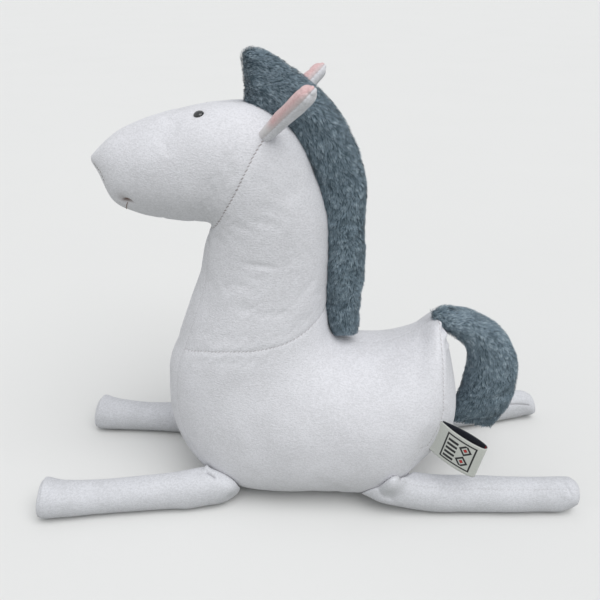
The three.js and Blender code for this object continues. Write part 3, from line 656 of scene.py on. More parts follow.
def normal_at(u, turn, side):
    e = 0.01
    along = at_share(u + e, turn, side) - at_share(u - e, turn, side)
    around = at_share(u, turn + e, side) - at_share(u, turn - e, side)
    return unit(-side * np.cross(along, around))


def turn_on_skin(d, off):
    return np.sum(np.cross(d, off) * normals, -1)


NONE = 99.0  # a distance at which no seam shows
# the nose crease on each side of the muzzle, along which shade is painted
NOSE_SHADE_LINE = [(0.979, 0.565), (0.963, 0.555), (0.943, 0.545), (0.932, 0.612)]
NAP_LINE = [(-86.9, -24.2, 299.1), (-86.3, -38, 283), (-86.1, -41.2, 264.8)]
head_away, neck_away, strip_away = (surface_distance(v) for v in (in_head, in_neck, in_strip))
arc = length_of(pts - np.roll(pts, 1, axis=1))
around = np.cumsum(np.concatenate([0 * arc[:, :1], arc[:, 1:], arc[:, :1]], 1), axis=1)
half_turn, full_turn, around = around[:, SIDES // 2, None], around[:, -1:], around[:, :-1]
back_away = np.where(in_strip > 1, NONE, np.minimum(around, full_turn - around))
belly_away = np.where(in_strip > 0, NONE, np.abs(around - half_turn))
back_run = run_along(pts[:, 0])[:, None] + 0 * A
head_away = np.where(in_strip > 1, NONE, head_away)
neck_away = np.where((in_strip > 1) | (in_head > 1), NONE, neck_away)
nose_away, nose_run = np.full(A.shape, NONE), 0 * A
for side in (-1, 1):
    places = spline(NOSE_SHADE_LINE, 24)
    off, run = path_distance(pts, skin(BODY, places[:, 0], places[:, 1] * math.pi * side), turn_on_skin)
    near = np.abs(off) < np.abs(nose_away)
    nose_away, nose_run = np.where(near, off, nose_away), np.where(near, run, nose_run)
nap_away, nap_run = path_distance(pts, NAP_LINE, turn_on_skin)
held = np.minimum.reduce([head_away, neck_away, strip_away, back_away, belly_away])
on_rump = strip_run < STRIP_RUN - 20
LINES = [  # distance, side, place along, stitch strength, groove depth, ruffle
    (head_away, in_head, head_run, 0.7, 0.6, 0.5),
    (neck_away, in_neck, neck_run, 0.36, 0.5, 0.4),
    (np.where(on_rump, strip_away, NONE), in_strip, strip_run, 0.4, 0.6, 0.6),
    (np.where(on_rump, NONE, strip_away), in_strip, strip_run, 0.2, 0.5, 0.3),
    (back_away, A - math.pi, back_run, 0.2, 0.5, 0.2),
    (belly_away, 1, back_run, 0.2, 0.3, 0.0),
    # the nose crease: a shallow groove, with its shade painted as a strong dark stitched line
    (np.abs(nose_away), nose_away, nose_run, 2.2, 0.35, 0.0),
    (np.abs(nap_away), nap_away, nap_run, 0.14, 0.1, 0.0),
]
columns = [np.stack([value + 0 * A for value in column]) for column in zip(*LINES)]
nearest = np.argmin(columns[0], 0)[None]
seam, seam_side, seam_run, stitch, groove, ruffle = (np.take_along_axis(c, nearest, 0)[0] for c in columns)

FULL = np.minimum(1, half_turn / 25)  # fades the relief out at the two ends
COARSE = (130, 60)
BODY_INSET, BODY_PUFF = 1.1, 0.6  # how deep the coarse body starts, and the share of its movement that is kept
SEAM_HOLD = 2.2  # cloth nearer to a seam than this is held
places = np.linspace(0, RINGS - 1, COARSE[0])
rows = places.round().astype(int)
cols = (np.arange(COARSE[1]) * SIDES / COARSE[1]).round().astype(int)
small = skin(BODY, *even_grid(BODY, *COARSE))
small = small - grid_normals(small)[0] * (BODY_INSET * FULL[places.astype(int)])[..., None]
moved = swell(small, held[rows][:, cols] < SEAM_HOLD, shrink=-0.004, cap=2.0)
moved[:2] = moved[-2:] = 0
puffed = BODY_PUFF * resample(moved, RINGS, SIDES)
pucker = np.sin(seam_run * 1.45 + 2 * lumps(pts, 9, 3)) + 0.6 * np.sin(seam_run * 0.62 + 1.3)
shift = 0.2 * ruffle * pucker * bell(seam, 3.2) - groove * (0.7 * bell(seam, 1.1) + 0.3 * bell(seam, 3.5))
shift = (shift - 0.8 + 0.4 * lumps(pts, 36, 1) + 0.12 * lumps(pts, 12, 2)) * FULL

EYE_SHARE = (0.805, 0.133)
MOUTH_SHARE = (0.883, 0.69)
NECK_FOLDS = [
    ((-26, 41, 205), -1.1, 2.2, 11, (1, 0, -0.1)),
    ((-50, 39.4, 187), -0.8, 5, 8, (1, 0, 0.5)),
    ((-39, 43.5, 173), -0.7, 5, 8, (1, 0, 0.3)),
]
GATHERS = [(place, rise, 2.6, 7, (0.3, 1, 0.1)) for place, rise in (
    ((108.8, 12, 149.6), 2.4), ((110.6, 13, 145), -1.5), ((112.4, 14.2, 140.6), 2.2),
    ((113.6, 15.4, 136.4), -1.4), ((114.8, 16.6, 132), 1.6), ((115.8, 17.6, 127), -0.8))]
painted_shade = 0 * A
for side in (-1, 1):
    eye, mouth = at_share(*EYE_SHARE, side), at_share(*MOUTH_SHARE, side)
    shift = shift + bumps(pts, [(eye, -0.9, 4.6), (eye, -0.5, 10), (mouth, -1.5, 6.5)])
    shift = shift + bumps(pts, [(mouth, -2.4, 1.6, 4.2, (1.0, 0.35 * side, -0.1))])
    shift = shift + bumps(pts, NECK_FOLDS + GATHERS, side)
    # painted shade: a dark core in the mouth pit and a soft brown haze just ahead of and above it
    off = pts - mouth
    level = length_of((off + (0, 0, 0.2)) / (5.0, 5.0, 1.4))
    haze = length_of(off - (-3.5, 0, 1.8))
    painted_shade = np.maximum(painted_shade, 0.8 * np.exp(-level**3) + 0.26 * bell(haze, 4.5))
shift = shift + bumps(pts, [((110, 0, 155), -7.0, 10.5), ((-151, 0, 268), 1.5, 11)])
body_pts = pts + normals * shift[..., None] + puffed
body_pts[..., 2] = np.maximum(body_pts[..., 2], 0.15)

# quads that a seam crosses from corner to corner are cut in two along it
quads = np.roll(grid_faces(body_pts), 1, axis=1)  # started a corner on, so their other diagonal counts
cut = np.full(len(quads), -1)
for value in (in_head, in_neck, in_strip):
    q = value.reshape(-1)[quads]
    both = (q.max(1) > 1e-9) & (q.min(1) < -1e-9)
    for k in (0, 1):
        cut[both & (np.abs(q[:, [k, k + 2]]).max(1) < 1e-9)] = k
faces = []
for q, k in zip(quads.tolist(), cut):
    if k < 0:
        faces.append(q)
    else:
        q = q[k:] + q[:k]
        faces += [q[:3], [q[0], q[2], q[3]]]
flat_pts = body_pts.reshape(-1, 3)
all_pts = np.concatenate([flat_pts, [body_pts[0].mean(0)], [body_pts[-1].mean(0)]])
turned = quads[0][0] == 0
for end, ring in enumerate(np.arange(len(flat_pts)).reshape(RINGS, SIDES)[[0, -1]].tolist()):
    for here, there in zip(ring, ring[1:] + ring[:1]):
        faces.append([len(flat_pts) + end, *((there, here) if turned == (end == 0) else (here, there))])


def with_ends(values, *ends):
    return np.append(values, ends if ends else (values[0, 0], values[-1, 0]))


extra = {
    "seam": with_ends(seam * np.sign(seam_side), NONE, NONE),
    "seam_along": with_ends(seam_run, 0, 0),
    "stitch": with_ends(stitch, 0, 0),
    "painted_shade": with_ends(painted_shade, 0, 0),
}
strip_val, head_val, neck_val, y_val = (with_ends(v) for v in (in_strip, in_head, in_neck, pts[..., 1]))
groups = {}
for f in faces:
    word = "left" if y_val[f].mean() < 0 else "right"
    part = "head" if head_val[f].mean() > 0 else "neck" if neck_val[f].mean() > 0 else "torso"
    key = "underside_gusset" if strip_val[f].mean() > 0 else f"{part}_panel_{word}"
    groups.setdefault(key, []).append(f)
for key, own_faces in groups.items():
    piece = part_mesh("cover_" + key, all_pts, own_faces, WHITE, extra)
    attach(piece, "torso")
    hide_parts(key, *(["body_filling"] if key == "underside_gusset" else []))
body_tree = BVHTree.FromPolygons((all_pts * MM).tolist(), faces)


def to_body(points):
    """Signed distance from points to the body's cover."""
    far = []
    for v in points.reshape(-1, 3):
        hit, normal, _, _ = body_tree.find_nearest(Vector(v) * MM)
        far.append((Vector(v) * MM - hit).dot(normal) / MM)
    return np.reshape(far, points.shape[:-1])


# ------------ limbs
def frame_at(place, along, facing):
    x = unit(np.asarray(along, float))
    y = unit(np.cross(facing, x))
    return np.asarray(place, float), np.stack([x, y, np.cross(x, y)])


def place_in(frame_, points):
    origin, axes = frame_
    return origin + points @ axes


def form(table, rings, sides, start_cap=0.0, end_cap=0.0, dent_in=0.0, cap_rings=6):
    """Grid of a stuffed form, its ends closed by rounded rings."""
    p = skin(table, *even_grid(table, rings, sides))
    parts = [p]
    for first, bulge in ((True, start_cap), (False, end_cap)):
        ring, inner = (p[0], p[1]) if first else (p[-1], p[-2])
        centre = ring.mean(0)
        out = unit(centre - inner.mean(0))
        rows = []
        for k in range(1, cap_rings + 1):
            t = k / cap_rings
            size = math.cos(t * math.pi / 2) if k < cap_rings else 0.001
            rise = bulge * math.sin(t * math.pi / 2) - (0 if first else dent_in) * t**3
            rows.append(centre + (ring - centre) * size + out * rise)
        parts = [rows[::-1], *parts] if first else [*parts, rows]
    return np.concatenate(parts)


def puffed_form(table, coarse, caps, pinned_rings, shrink, cap):
    """How far a stuffed form's cloth moves when it is blown up, on a coarse grid."""
    grid = form(table, *coarse, *caps)
    pinned = np.zeros(grid.shape[:2], bool)
    pinned[:, [0, coarse[1] // 2]] = True
    pinned[:pinned_rings] = pinned[-pinned_rings:] = True
    return swell(grid - grid_normals(grid)[0] * CLOTH_INSET, pinned, shrink, cap)


CLOTH_INSET = 0.9  # how far the cloth starts inside the form that it is blown up to
LEG = 29
LEG_CAPS = (0.5, 4.5, 2.5, 9)  # bulge of the root, bulge and dimple of the foot, rings
LEG_BEND = (-4, 22)
HINGES = {"front": (0.342, 0.75), "hind": (0.19, 0.75)}
# toe as shares of the chest's or the rump's length and of half the strip's width, and flare of the foot
FEET = {("front", -1): (-1.852, -1.34, 1.05), ("front", 1): (-1.765, 0.97, 1.05),
        ("hind", -1): (1.745, -0.79, 0.9), ("hind", 1): (1.715, 1.74, 0.8)}
ROOTS = {"front": (0.28, 0.1, 0), "hind": (0.5, 0.32, 0.12)}
# place on the leg: run from the hinge, side, height; then rise, size, run, direction
FOLDS = {
    ("front", -1): [
        ((23, 0, 33), -1.5, 6, 7, (1, 0, 0)), ((16, 2.4, 33.5), 4.2, 2.3, 2.6, (1, 0.5, 0)),
        ((2, -7, 30), -3.2, 6, 9, (1, 0.5, 0.5)), ((-4, -12, 9), -3.2, 7, 7, (1, 0, 0)),
        ((33, -11, 4), 1.0, 6, 9, (1, 0, 0)), ((138, 0, 28), 0.8, 9, 7, (1, 0, 0)),
        ((60, -12, 14), -0.35, 7, 14, (1, 0, 0.2)), ((96, -11, 12), -0.3, 6, 12, (1, 0, 0.3))],
    ("hind", -1): [
        ((9, -8, 31.5), 11.6, 6.2, 8.4, (1, 0.3, 0)), ((4.5, -11, 30), 4.0, 4.2, 5.0, (1, 0.3, 0)),
        ((6, -13, 24), -1.2, 3.4, 8, (0.35, -0.2, -1)), ((85, 0, 28), 1.9, 13, 48, (1, 0, 0)),
        ((152, -2, 24), 1.5, 9, 9, (1, 0, 0)), ((156, -8, 6), -5.0, 9, 9, (0, 1, 0)),
        ((27, 0, 31), -0.9, 5, 5, (1, 0, 0)), ((-10, -11, 18), -1.2, 6, 9, (1, 0, 1)),
        ((138, -10, 20), -0.6, 5, 7, (0.6, 0, -1)), ((84, -12, 12), -0.4, 6, 13, (1, 0, 0.25))],
    ("front", 1): [
        ((118, 0, 28), 1.1, 9, 18, (1, 0, 0)), ((70, 0, 24), -0.4, 4, 12, (1, 0.1, 0)),
        ((100, 0, 24), -0.4, 4, 9, (1, 0.3, 0))],
    ("hind", 1): [
        ((60, -4, 25), -0.6, 2.5, 26, (1, 0, 0)), ((150, 0, 24), 2.0, 8, 9, (0, 1, 0)),
        ((152, 0, 3), -3.0, 7, 12, (0, 1, 0))],
}
# thin creases: path of places, depth, width, and how dark the painted shade along it is
CREASES = {
    ("front", -1): [([(16.1, -1.4, 32.6), (12.7, -5.4, 32.2), (10, -7.8, 31.2)], 1.8, 1.0, 0.5)],
    ("hind", -1): [([(16.5, -1.5, 32.8), (13.9, -4.4, 32.5), (12.8, -7.9, 31.3)], 2.4, 1.1, 0.5),
                   ([(-3.6, -10.4, 28), (-1.4, -12.4, 24.7), (0.9, -13.2, 21.8), (6.3, -13.9, 19.2)],
                    0.9, 2.0, 0),
                   ([(143.6, -4.3, 27.7), (145.5, -7.5, 26), (147.1, -10.9, 23.1)], 0.9, 1.2, 0)],
    ("front", 1): [],
    ("hind", 1): [([(128, -10.3, 22), (140, -10.6, 20.5), (150, -11, 18.5)], 0.7, 1.0, 0.5)],
}


def leg_table(length, height, root, flare):
    ground = -REST / LEG
    return stations(lambda a, b: (a * length, b * LEG - height), LEG, [
        ((-0.11, 0.62), (-0.11, 0.52), 0.04),
        ((-0.07, 0.98), (-0.08, root[0]), 0.3),
        ((0.0, 1.15), (0.0, root[1]), 0.45),
        ((0.12, 1.12), (0.13, root[2]), 0.51),
        ((0.27, 1.0), (0.27, ground), 0.5),
        ((0.47, 0.95), (0.47, ground), 0.49),
        ((0.68, 0.92), (0.68, ground), 0.48),
        ((0.86, 0.97), (0.86, ground), 0.5 * flare),
        ((0.945, 1.05 * flare), (0.965, ground), 0.53 * flare),
        ((0.965, 0.98 * flare), (0.995, 0.05), 0.48 * flare),
    ])


def leg(which, side, word):
    near_hind = (which, side) == ("hind", -1)
    hinge = at_share(*HINGES[which], side)
    toe_x, toe_y, flare = FEET[(which, side)]
    along = np.array([toe_x * (CHEST if toe_x < 0 else RUMP), toe_y * GUSSET_W / 2, hinge[2]]) - hinge
    fr = frame_at(hinge, along, (0, 0, 1))
    flip = np.sign(fr[1][1][1])
    table = leg_table(np.linalg.norm(along), hinge[2], ROOTS[which], flare)
    puff = puffed_form(table, (50, 24), LEG_CAPS, 9, shrink=0.0, cap=1.5)
    local = form(table, 280, 112, *LEG_CAPS)
    if which == "front":
        local[..., 0] = np.where(local[..., 0] < 0, local[..., 0] * 0.66, local[..., 0])
    normal = grid_normals(local)[0]
    heights = local[..., 2]
    angle = np.arctan2(local[..., 1], heights - (heights.max(1) + heights.min(1))[:, None] / 2)
    off = (((angle - 0.6 * flip * side + math.pi) % (2 * math.pi)) - math.pi) * LEG / 2
    run = local[..., 0]
    world = place_in(fr, local)
    amount = 0.3 * lumps(world, 19, 5 + side) + 0.1 * lumps(world, 7, 8 + side)
    amount = amount - (0.5 if near_hind else 0.12) * (0.5 * bell(off, 0.9) + 0.35 * bell(off, 3.5))
    amount = amount + bumps(local, FOLDS[(which, side)], flip, hinge[2])
    crease_shade = np.zeros(off.shape)
    for places, depth, width, dark in CREASES[(which, side)]:
        away = path_distance(local, [(x, y * flip, z - hinge[2]) for x, y, z in places])[0]
        amount = amount - depth * (0.75 * bell(away, width) + 0.25 * bell(away, width * 3))
        # painted shade along the crease
        crease_shade = np.maximum(crease_shade, dark * bell(away, 0.7))
    fade = np.clip((run - 2) / 14, 0, 1)[..., None]
    local = local + normal * (amount[..., None] - 0.8 * fade) + resample(puff, *off.shape) * fade
    world = place_in(fr, local)
    sunk = 2.2 * bell(to_body(world) - 0.1, 1.3)  # the cloth turns in where it meets the body
    world = world - grid_normals(world)[0] * sunk[..., None]
    world[..., 2] = np.maximum(world[..., 2], 0.12)
    # painted shade where the leg meets the body, on the left legs only; slit sets how far it reaches
    slit = 0.55 + bumps(local, [((0, -9.5, 29.5), 0.6 * (which == "front"), 6)], flip, hinge[2])
    shade = 0.75 * bell(to_body(world) - 0.3, slit) * (side < 0)
    name = f"leg_{which}_{word}"
    piece = grid_mesh(name, world, LEG_SHADED_WHITE, {
        "seam": off, "seam_along": run, "painted_shade": np.maximum(shade, crease_shade),
        "stitch": np.full(off.shape, 0.15 if near_hind else 0.04)})
    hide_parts(name + "_cover", name + "_filling")
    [tuple((hinge + unit(along) * reach) * MM) for reach in LEG_BEND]
    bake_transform(piece)


for which in ("front", "hind"):
    for side, word in BOTH_SIDES:
        leg(which, side, word)


# ------------ pile
BLADE, BLADE_W = 3.6, 0.36
LEAN, SPREAD, CLUMP = 64, 0.28, 0.38


def strands(name, grid, count, painted_light_by_height=((0, 0),)):
    """Fur of flat tapering blades over a grid, lying along its rows. The last argument lists (height, change of
    tone) rows of painted light: lighter high up, darker low down.
    """
    a, b = grid[:-1], grid[1:]
    c, d = np.roll(a, -1, 1), np.roll(b, -1, 1)
    area = (length_of(np.cross(b - a, c - a)) + length_of(np.cross(b - d, c - d))) / 2
    weights = area.reshape(-1) / area.sum()
    grid_n, grid_u, _ = grid_normals(grid)
    grid_u = unit(grid_u)

    def roots(number):
        """Random places, with the normal and the way along at each."""
        r, k = np.divmod(rng.choice(len(weights), number, p=weights), grid.shape[1])
        s, t = rng.random(number)[:, None], rng.random(number)[:, None]
        after = (k + 1) % grid.shape[1]
        p, n, along = (
            (v[r, k] * (1 - s) + v[r + 1, k] * s) * (1 - t) + (v[r, after] * (1 - s) + v[r + 1, after] * s) * t
            for v in (grid, grid_n, grid_u))
        n = unit(n)
        return p, n, unit(along - n * np.sum(n * along, 1, keepdims=True))

    def heading(p, n, along, wobble):
        swirl = np.array([noise.noise(Vector(v / 11)) + 0.7 * noise.noise(Vector(v / 4.5) + Vector((9, 0, 0)))
                          for v in p])
        turn = (swirl * 0.6 + rng.normal(0, wobble, len(p)))[:, None]
        tilt = np.radians(LEAN + rng.normal(0, 7, len(p)))[:, None]
        return n * np.cos(tilt) + (along * np.cos(turn) + np.cross(n, along) * np.sin(turn)) * np.sin(tilt)

    p, n, along = roots(count)
    outside = to_body(p) >= -0.2
    p, n, along = p[outside], n[outside], along[outside]
    number = len(p)
    tip = heading(p, n, along, SPREAD)
    tip = p + tip * BLADE * rng.uniform(0.75, 1.15, number)[:, None]
    clump_p, clump_n, clump_along = roots(count // 14)
    clump_tip = clump_p + heading(clump_p, clump_n, clump_along, SPREAD * 1.4) * BLADE * 1.05
    tree = KDTree(len(clump_p))
    for i, v in enumerate(clump_p):
        tree.insert(Vector(v), i)
    tree.balance()
    own_clump = np.array([tree.find(Vector(v))[1] for v in p])
    pull = CLUMP * rng.uniform(0.5, 1.0, number)[:, None]
    tip = tip * (1 - pull) + (clump_tip[own_clump] + (p - clump_p[own_clump]) * 0.25) * pull
    reach = length_of(tip - p)[:, None]
    way = unit(tip - p)
    middle = p + way * reach * 0.5 + n * reach * 0.16
    base = p - n * 0.4
    across = unit(np.cross(way, n)) * BLADE_W * rng.uniform(0.7, 1.2, number)[:, None] / 2
    verts = np.stack([base - across, base + across, middle - across * 0.85, middle + across * 0.85, tip], 1)
    start = np.arange(number)[:, None] * 5
    blades = (start + [0, 1, 3, 2]).tolist() + (start + [2, 3, 4]).tolist()
    shade = n * 0.55 + unit(n - way * np.sum(n * way, 1, keepdims=True)) * 0.45
    shade = unit(shade + rng.normal(0, 0.12, shade.shape))
    own = rng.normal(0, 0.12, number)
    lot = own + rng.normal(0, 0.15, len(clump_p))[own_clump]
    # tone rises from root to tip: painted shade deep in the pile and a painted highlight at the tips; own and
    # lot vary it at random per blade and per clump
    tone = np.stack([0.16 + own * 0.2, 0.16 + own * 0.2, 0.42 + lot, 0.42 + lot, 0.78 + lot], 1)
    # painted light by height
    tone = tone + np.interp(p[:, 2], *zip(*painted_light_by_height))[:, None]
    obj = make_mesh(name, verts, blades, PLUSH_PILE, {"tone": np.clip(tone, 0, 1.2)})
    obj.data.normals_split_custom_set_from_vertices(np.repeat(shade, 5, axis=0).tolist())
    return obj


def thick_form(table, rings, sides, inset, seed, creases):
    """A stuffed form blown up along its edge seams, set in by the depth of its pile, with soft creases."""
    puff = puffed_form(table, (rings // 2, sides // 2), (0.6, 0.6), 4, shrink=-0.02, cap=1.8)
    local = form(table, rings, sides, 0.6, 0.6)
    amount = bumps(local, creases) - inset - CLOTH_INSET
    amount = amount + 0.5 * lumps(local, 22, seed) + 0.35 * lumps(local, 9, seed + 1)
    return local + grid_normals(local)[0] * amount[..., None] + resample(puff, *local.shape[:2])


def plush_piece(name, grid, count, *painted_light_by_height):
    """A piece's backing, and the pile on it."""
    backing = grid_mesh(name + "_backing", grid, PLUSH_BASE)
    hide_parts(name + "_cover", name + "_filling")
    fur = strands(name + "_pile", grid, count, *painted_light_by_height)
    return backing, fur


# ------------ mane
MANE_W = 33
MANE = stations(head, MANE_W, [
    ((0.256, 1.455), (0.254, 0.93), 0.12),
    ((0.222, 1.475), (0.22, 0.95), 0.3),
    ((0.125, 1.4), (0.15, 0.93), 0.43),
    ((-0.008, 1.26), (0.06, 0.83), 0.49),
    ((-0.14, 1.035), (-0.01, 0.62), 0.5),
    ((-0.243, 0.735), (-0.06, 0.38), 0.5),
    ((-0.308, 0.38), (-0.09, 0.1), 0.5),
]) + stations(neck, MANE_W, [
    ((0.24, 1.0), (-0.05, 0.8), 0.5),
    ((0.25, 0.6), (-0.045, 0.5), 0.49),
    ((0.235, 0.34), (-0.02, 0.28), 0.47),
    ((0.23, 0.15), (0.015, 0.13), 0.41),
    ((0.225, 0.075), (0.02, 0.07), 0.16),
])
mane_pts = thick_form(MANE, 130, 60, -0.1, 21, [
    ((-22, 0, 341), 2.4, 11, 14, (1, 0, -0.3)),
    ((-30, 0, 338), 1.2, 7, 8, (1, 0, 0)),
    ((62, -14, 268), -1.6, 3.2, 14, (1, 0, 0.35)),
    ((66, -14, 252), -1.3, 3.0, 13, (1, 0, 0.1)),
    ((60, -14, 283), -1.0, 3.0, 12, (1, 0, 0.6)),
    ((45, 0, 150), -1.2, 4.0, 20, (1, 0, 0)),
])
for piece in plush_piece("mane", mane_pts, 62000):
    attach(piece, "torso")

# ------------ tail
TAIL_REACH, TAIL_DROP, TAIL_W = 71, 105, 30
TAIL = stations(lambda a, b: (a * TAIL_REACH, -b * TAIL_DROP), TAIL_W, [
    ((-0.08, 0.01), (-0.08, 0.07), 0.1),
    ((0.03, -0.02), (0.02, 0.14), 0.26),
    ((0.18, -0.015), (0.155, 0.19), 0.4),
    ((0.39, 0.01), (0.285, 0.26), 0.47),
    ((0.61, 0.095), (0.36, 0.37), 0.5),
    ((0.79, 0.225), (0.37, 0.505), 0.51),
    ((0.905, 0.4), (0.35, 0.645), 0.5),
    ((0.93, 0.595), (0.315, 0.76), 0.47),
    ((0.875, 0.815), (0.28, 0.86), 0.38),
    ((0.745, 1.01), (0.252, 0.935), 0.13),
])
tail_pts = TAIL_ROOT + thick_form(TAIL, 90, 52, 0.6, 31, [
    ((24, -11, -12), -2.2, 2.4, 8, (0.5, 0, -1)),
    ((15, -8, -9), -2.4, 2.0, 7, (0.6, 0, -1)),
    ((9, -7, -6), -1.6, 1.8, 6, (0.8, 0, -1)),
    ((32, -12, -20), -1.3, 3, 8, (0.9, 0, -0.6)),
    ((16, -6, -19), 2.2, 6, 9, (1, 0, -0.7)),
    ((5, 0, 1), 1.2, 8, 10, (1, 0, 0)),
    ((7, -5, -9), 3.0, 6, 7, (1, 0, -0.5)),
    ((36, 0, 2), -1.6, 14, 14, (1, 0, -0.2)),
    ((24, 0, -66), 2.6, 15, 22, (0, 0, 1)),
    ((18, 0, -92), 3.2, 10, 14, (0, 0, 1)),
    ((50, -12, -68), -2.0, 3.4, 12, (1, 0, 0.25)),
])
# the tail's pile is painted lighter towards its top and darker lower down, as painted light
for piece in plush_piece("tail", tail_pts, 36000, ((60, -0.08), (95, -0.03), (125, 0.06), (150, 0.14))):
    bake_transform(piece)

# ------------ ears
EAR_L, EAR_W, EAR_T = 54, 14, 12
EAR_SHARE = (0.73, 0.215)
LEANS = {-1: (0.56, -0.58, 0.59), 1: (0.64, 0.5, 0.61)}
EAR = stations(lambda a, t: (a * EAR_L, t * EAR_T), EAR_W, [((a, t), (a, -t), w) for a, t, w in (
    (-0.12, 0.34, 0.4), (0.02, 0.44, 0.46), (0.24, 0.47, 0.46), (0.5, 0.49, 0.48),
    (0.76, 0.52, 0.52), (0.92, 0.47, 0.48), (1, 0.24, 0.26))])
EAR_CREASES = [((45, 1, 6), -0.8, 1.3, 4, (0.8, 1, 0)), ((49, -2, 5), -0.7, 1.2, 4, (0.6, -1, 0)),
               ((36, 3, 6), -0.4, 1.5, 5, (1, 0.3, 0))]
for side, word in BOTH_SIDES:
    local = form(EAR, 110, 72, 0.5, 2.6, 0, 9)
    run, y, z = local[..., 0], local[..., 1], local[..., 2]
    off = (np.abs(np.arctan2(y, z)) - math.pi / 2) * EAR_T / 2
    amount = 0.4 * lumps(local, 9, 41 + side) - 0.45 * bell(off, 0.8) - 0.3 * bell(off, 2.6)
    amount = amount + 0.14 * np.sin(run * 1.7) * bell(off, 2.2) + bumps(local, EAR_CREASES)
    amount = amount - 0.9 * bell(run, 9) * bell(y, 2.5) * (z > 0)
    local = local + grid_normals(local)[0] * amount[..., None]
    world = place_in(frame_at(at_share(*EAR_SHARE, side), LEANS[side], (-0.74, 0, 0.67)), local)
    quads = grid_faces(world)
    upper = local.reshape(-1, 3)[quads].mean(1)[:, 2] > 0
    # share of pink in the lining: it drops to whitish along the edges as painted sheen, and towards the root as
    # a fade
    pink_vs_sheen = np.clip((run - 6) / 10, 0, 1) ** 1.3 * (0.3 + 0.7 * np.clip((np.abs(off) - 0.2) / 3.2, 0, 1))
    attributes = {"seam": off, "seam_along": run, "painted_shade": 0 * off, "stitch": 0 * off + 0.12, "pink_vs_sheen": pink_vs_sheen}
    for part, own, mat, slot in (("lining", upper, PINK, "pink_velour"), ("back", ~upper, WHITE, "velour")):
        name = f"ear_{part}_cloth_{word}"
        piece = part_mesh(name, world.reshape(-1, 3), quads[own].tolist(), mat, attributes)
        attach(piece, f"ear_{word}")
        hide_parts(f"ear_{part}_{word}")

# ------------ eyes
DOME_R, DOME_H, DOME_Z = 3.7, 2.1, -1.6
EYE_PROFILE = [  # radius and height: shank, rim and dome
    (0.001, -11.0), (1.4, -11.0), (1.5, -10.6), (1.5, -2.2), (3.0, -2.1), (3.6, -1.8),
    *((DOME_R * math.cos(t), DOME_Z + DOME_H * math.sin(t)) for t in np.linspace(0, math.pi / 2, 16)[:-1]),
    (0.001, 0.5)]


def ring_of(count):
    return np.linspace(0, 2 * math.pi, count, endpoint=False)


radius, height = np.array(EYE_PROFILE).T[..., None]
turn = ring_of(48)
lathed = np.stack([radius * np.cos(turn), radius * np.sin(turn), height + 0 * turn], -1)
for side, word in BOTH_SIDES:
    out = normal_at(*EYE_SHARE, side)
    fr = frame_at(at_share(*EYE_SHARE, side), np.cross((1, 0, 0), out), out)
    eye = grid_mesh(f"eye_dome_{word}", place_in(fr, lathed), EYE)
    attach(eye, "torso")
    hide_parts(f"eye_{word}")
    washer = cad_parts[f"eye_washer_{word}"]
    washer.data.materials.clear()
    washer.data.materials.append(WASHER)

# ------------ mouth thread
THREAD_R, TWIST, PLY = 0.28, 1.6, 0.25


def tube(name, line, mat):
    """A twisted thread along a line."""
    line = np.asarray(line, float)
    tan = unit(np.gradient(line, axis=0))
    ref = np.array([1.0, 0, 0])
    n = unit(ref - tan * (tan @ ref)[:, None])
    turn = ring_of(10)
    r = THREAD_R * (1 + PLY * np.cos(2 * (turn - TWIST * run_along(line)[:, None])))
    across, up = (r * np.cos(turn))[..., None], (r * np.sin(turn))[..., None]
    return grid_mesh(name, line[:, None] + n[:, None] * across + np.cross(tan, n)[:, None] * up, mat)


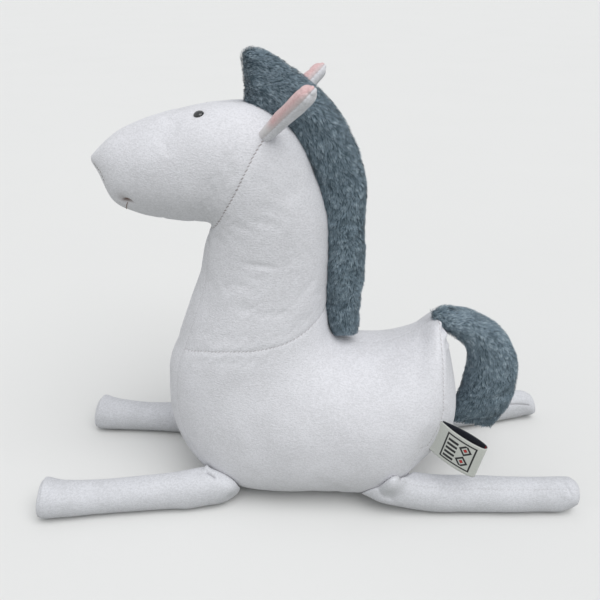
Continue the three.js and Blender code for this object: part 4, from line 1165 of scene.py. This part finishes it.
chin = []
for i in np.linspace(-1, 1, 81):
    side = -1 if i < 0 else 1
    share = 1 - (1 - MOUTH_SHARE[1]) * abs(i)
    ahead = MOUTH_SHARE[0] + 0.016 * (1 - abs(i))
    hit = body_tree.find_nearest(Vector(at_share(ahead, share, side)) * MM)[0]
    rise = 0.05 - 3.0 * max(0, abs(i) - 0.93) / 0.07  # the thread dives into the cloth at its two ends
    chin.append(np.array(hit) / MM + normal_at(ahead, min(share, 0.985), side) * rise)
thread = tube("mouth_thread", chin, THREAD)
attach(thread, "torso")
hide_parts("mouth_stitch")

# ------------ label
TAPE_W, TAPE_L, TAPE_T, TAPE_BEND = 29.5, 37, 0.6, 6
top, low = at_share(0.0865, 0.475, -1), at_share(0.0965, 0.635, -1)
root, edge = (top + low) / 2, unit(top - low)
out = np.array([0.82, -0.54, -0.18])
out = out - edge * (out @ edge)
fr = frame_at(root - edge * 2.2, out, np.cross(out, edge))
half_line = np.array([(-0.08, 0.02), (0, 0.03), (0.3, 0.1), (0.65, 0.12), (0.93, 0.08), (1.0, 0.0)]) * TAPE_L
curve = spline(np.concatenate([half_line, (half_line * [1, -1])[-2::-1]]), 90)
run = run_along(curve)
across = np.linspace(-TAPE_W / 2, TAPE_W / 2, 28)
tan = unit(np.gradient(curve, axis=0))
nrm = np.stack([-tan[:, 1], tan[:, 0]], -1)
sag = 0.5 * np.sin(across / TAPE_W * math.pi * 1.3 + 0.4) * np.sin(np.linspace(0, math.pi, len(curve)))[:, None]
layers = []
for sign in (1, -1):
    line = curve + nrm * sign * TAPE_T / 2
    layers.append(place_in(fr, np.stack(np.broadcast_arrays(line[:, :1], across, line[:, 1:] + sag), -1)))
i = np.arange(sag.size).reshape(sag.shape)
front = np.stack([i[:-1, :-1], i[1:, :-1], i[1:, 1:], i[:-1, 1:]], -1).reshape(-1, 4)
rim = [np.stack([e[:-1] + i.size, e[1:] + i.size, e[1:], e[:-1]], 1)
       for e in (i[:, 0], i[::-1, -1], i[0, ::-1], i[-1, :])]
tape_faces = np.concatenate([front, front[:, ::-1] + i.size, *rim]).tolist()
u, v, inner = (np.broadcast_to(values, (2, *sag.shape)) for values in (run[:, None], across, [[[0]], [[1]]]))
label = make_mesh("tape_label", layers, tape_faces, LABEL, {"tape_u": u, "tape_v": v, "tape_inside": inner})
tuple(root * MM)
tuple((root + unit(out) * TAPE_BEND) * MM)
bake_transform(label)
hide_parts("sewn_label")
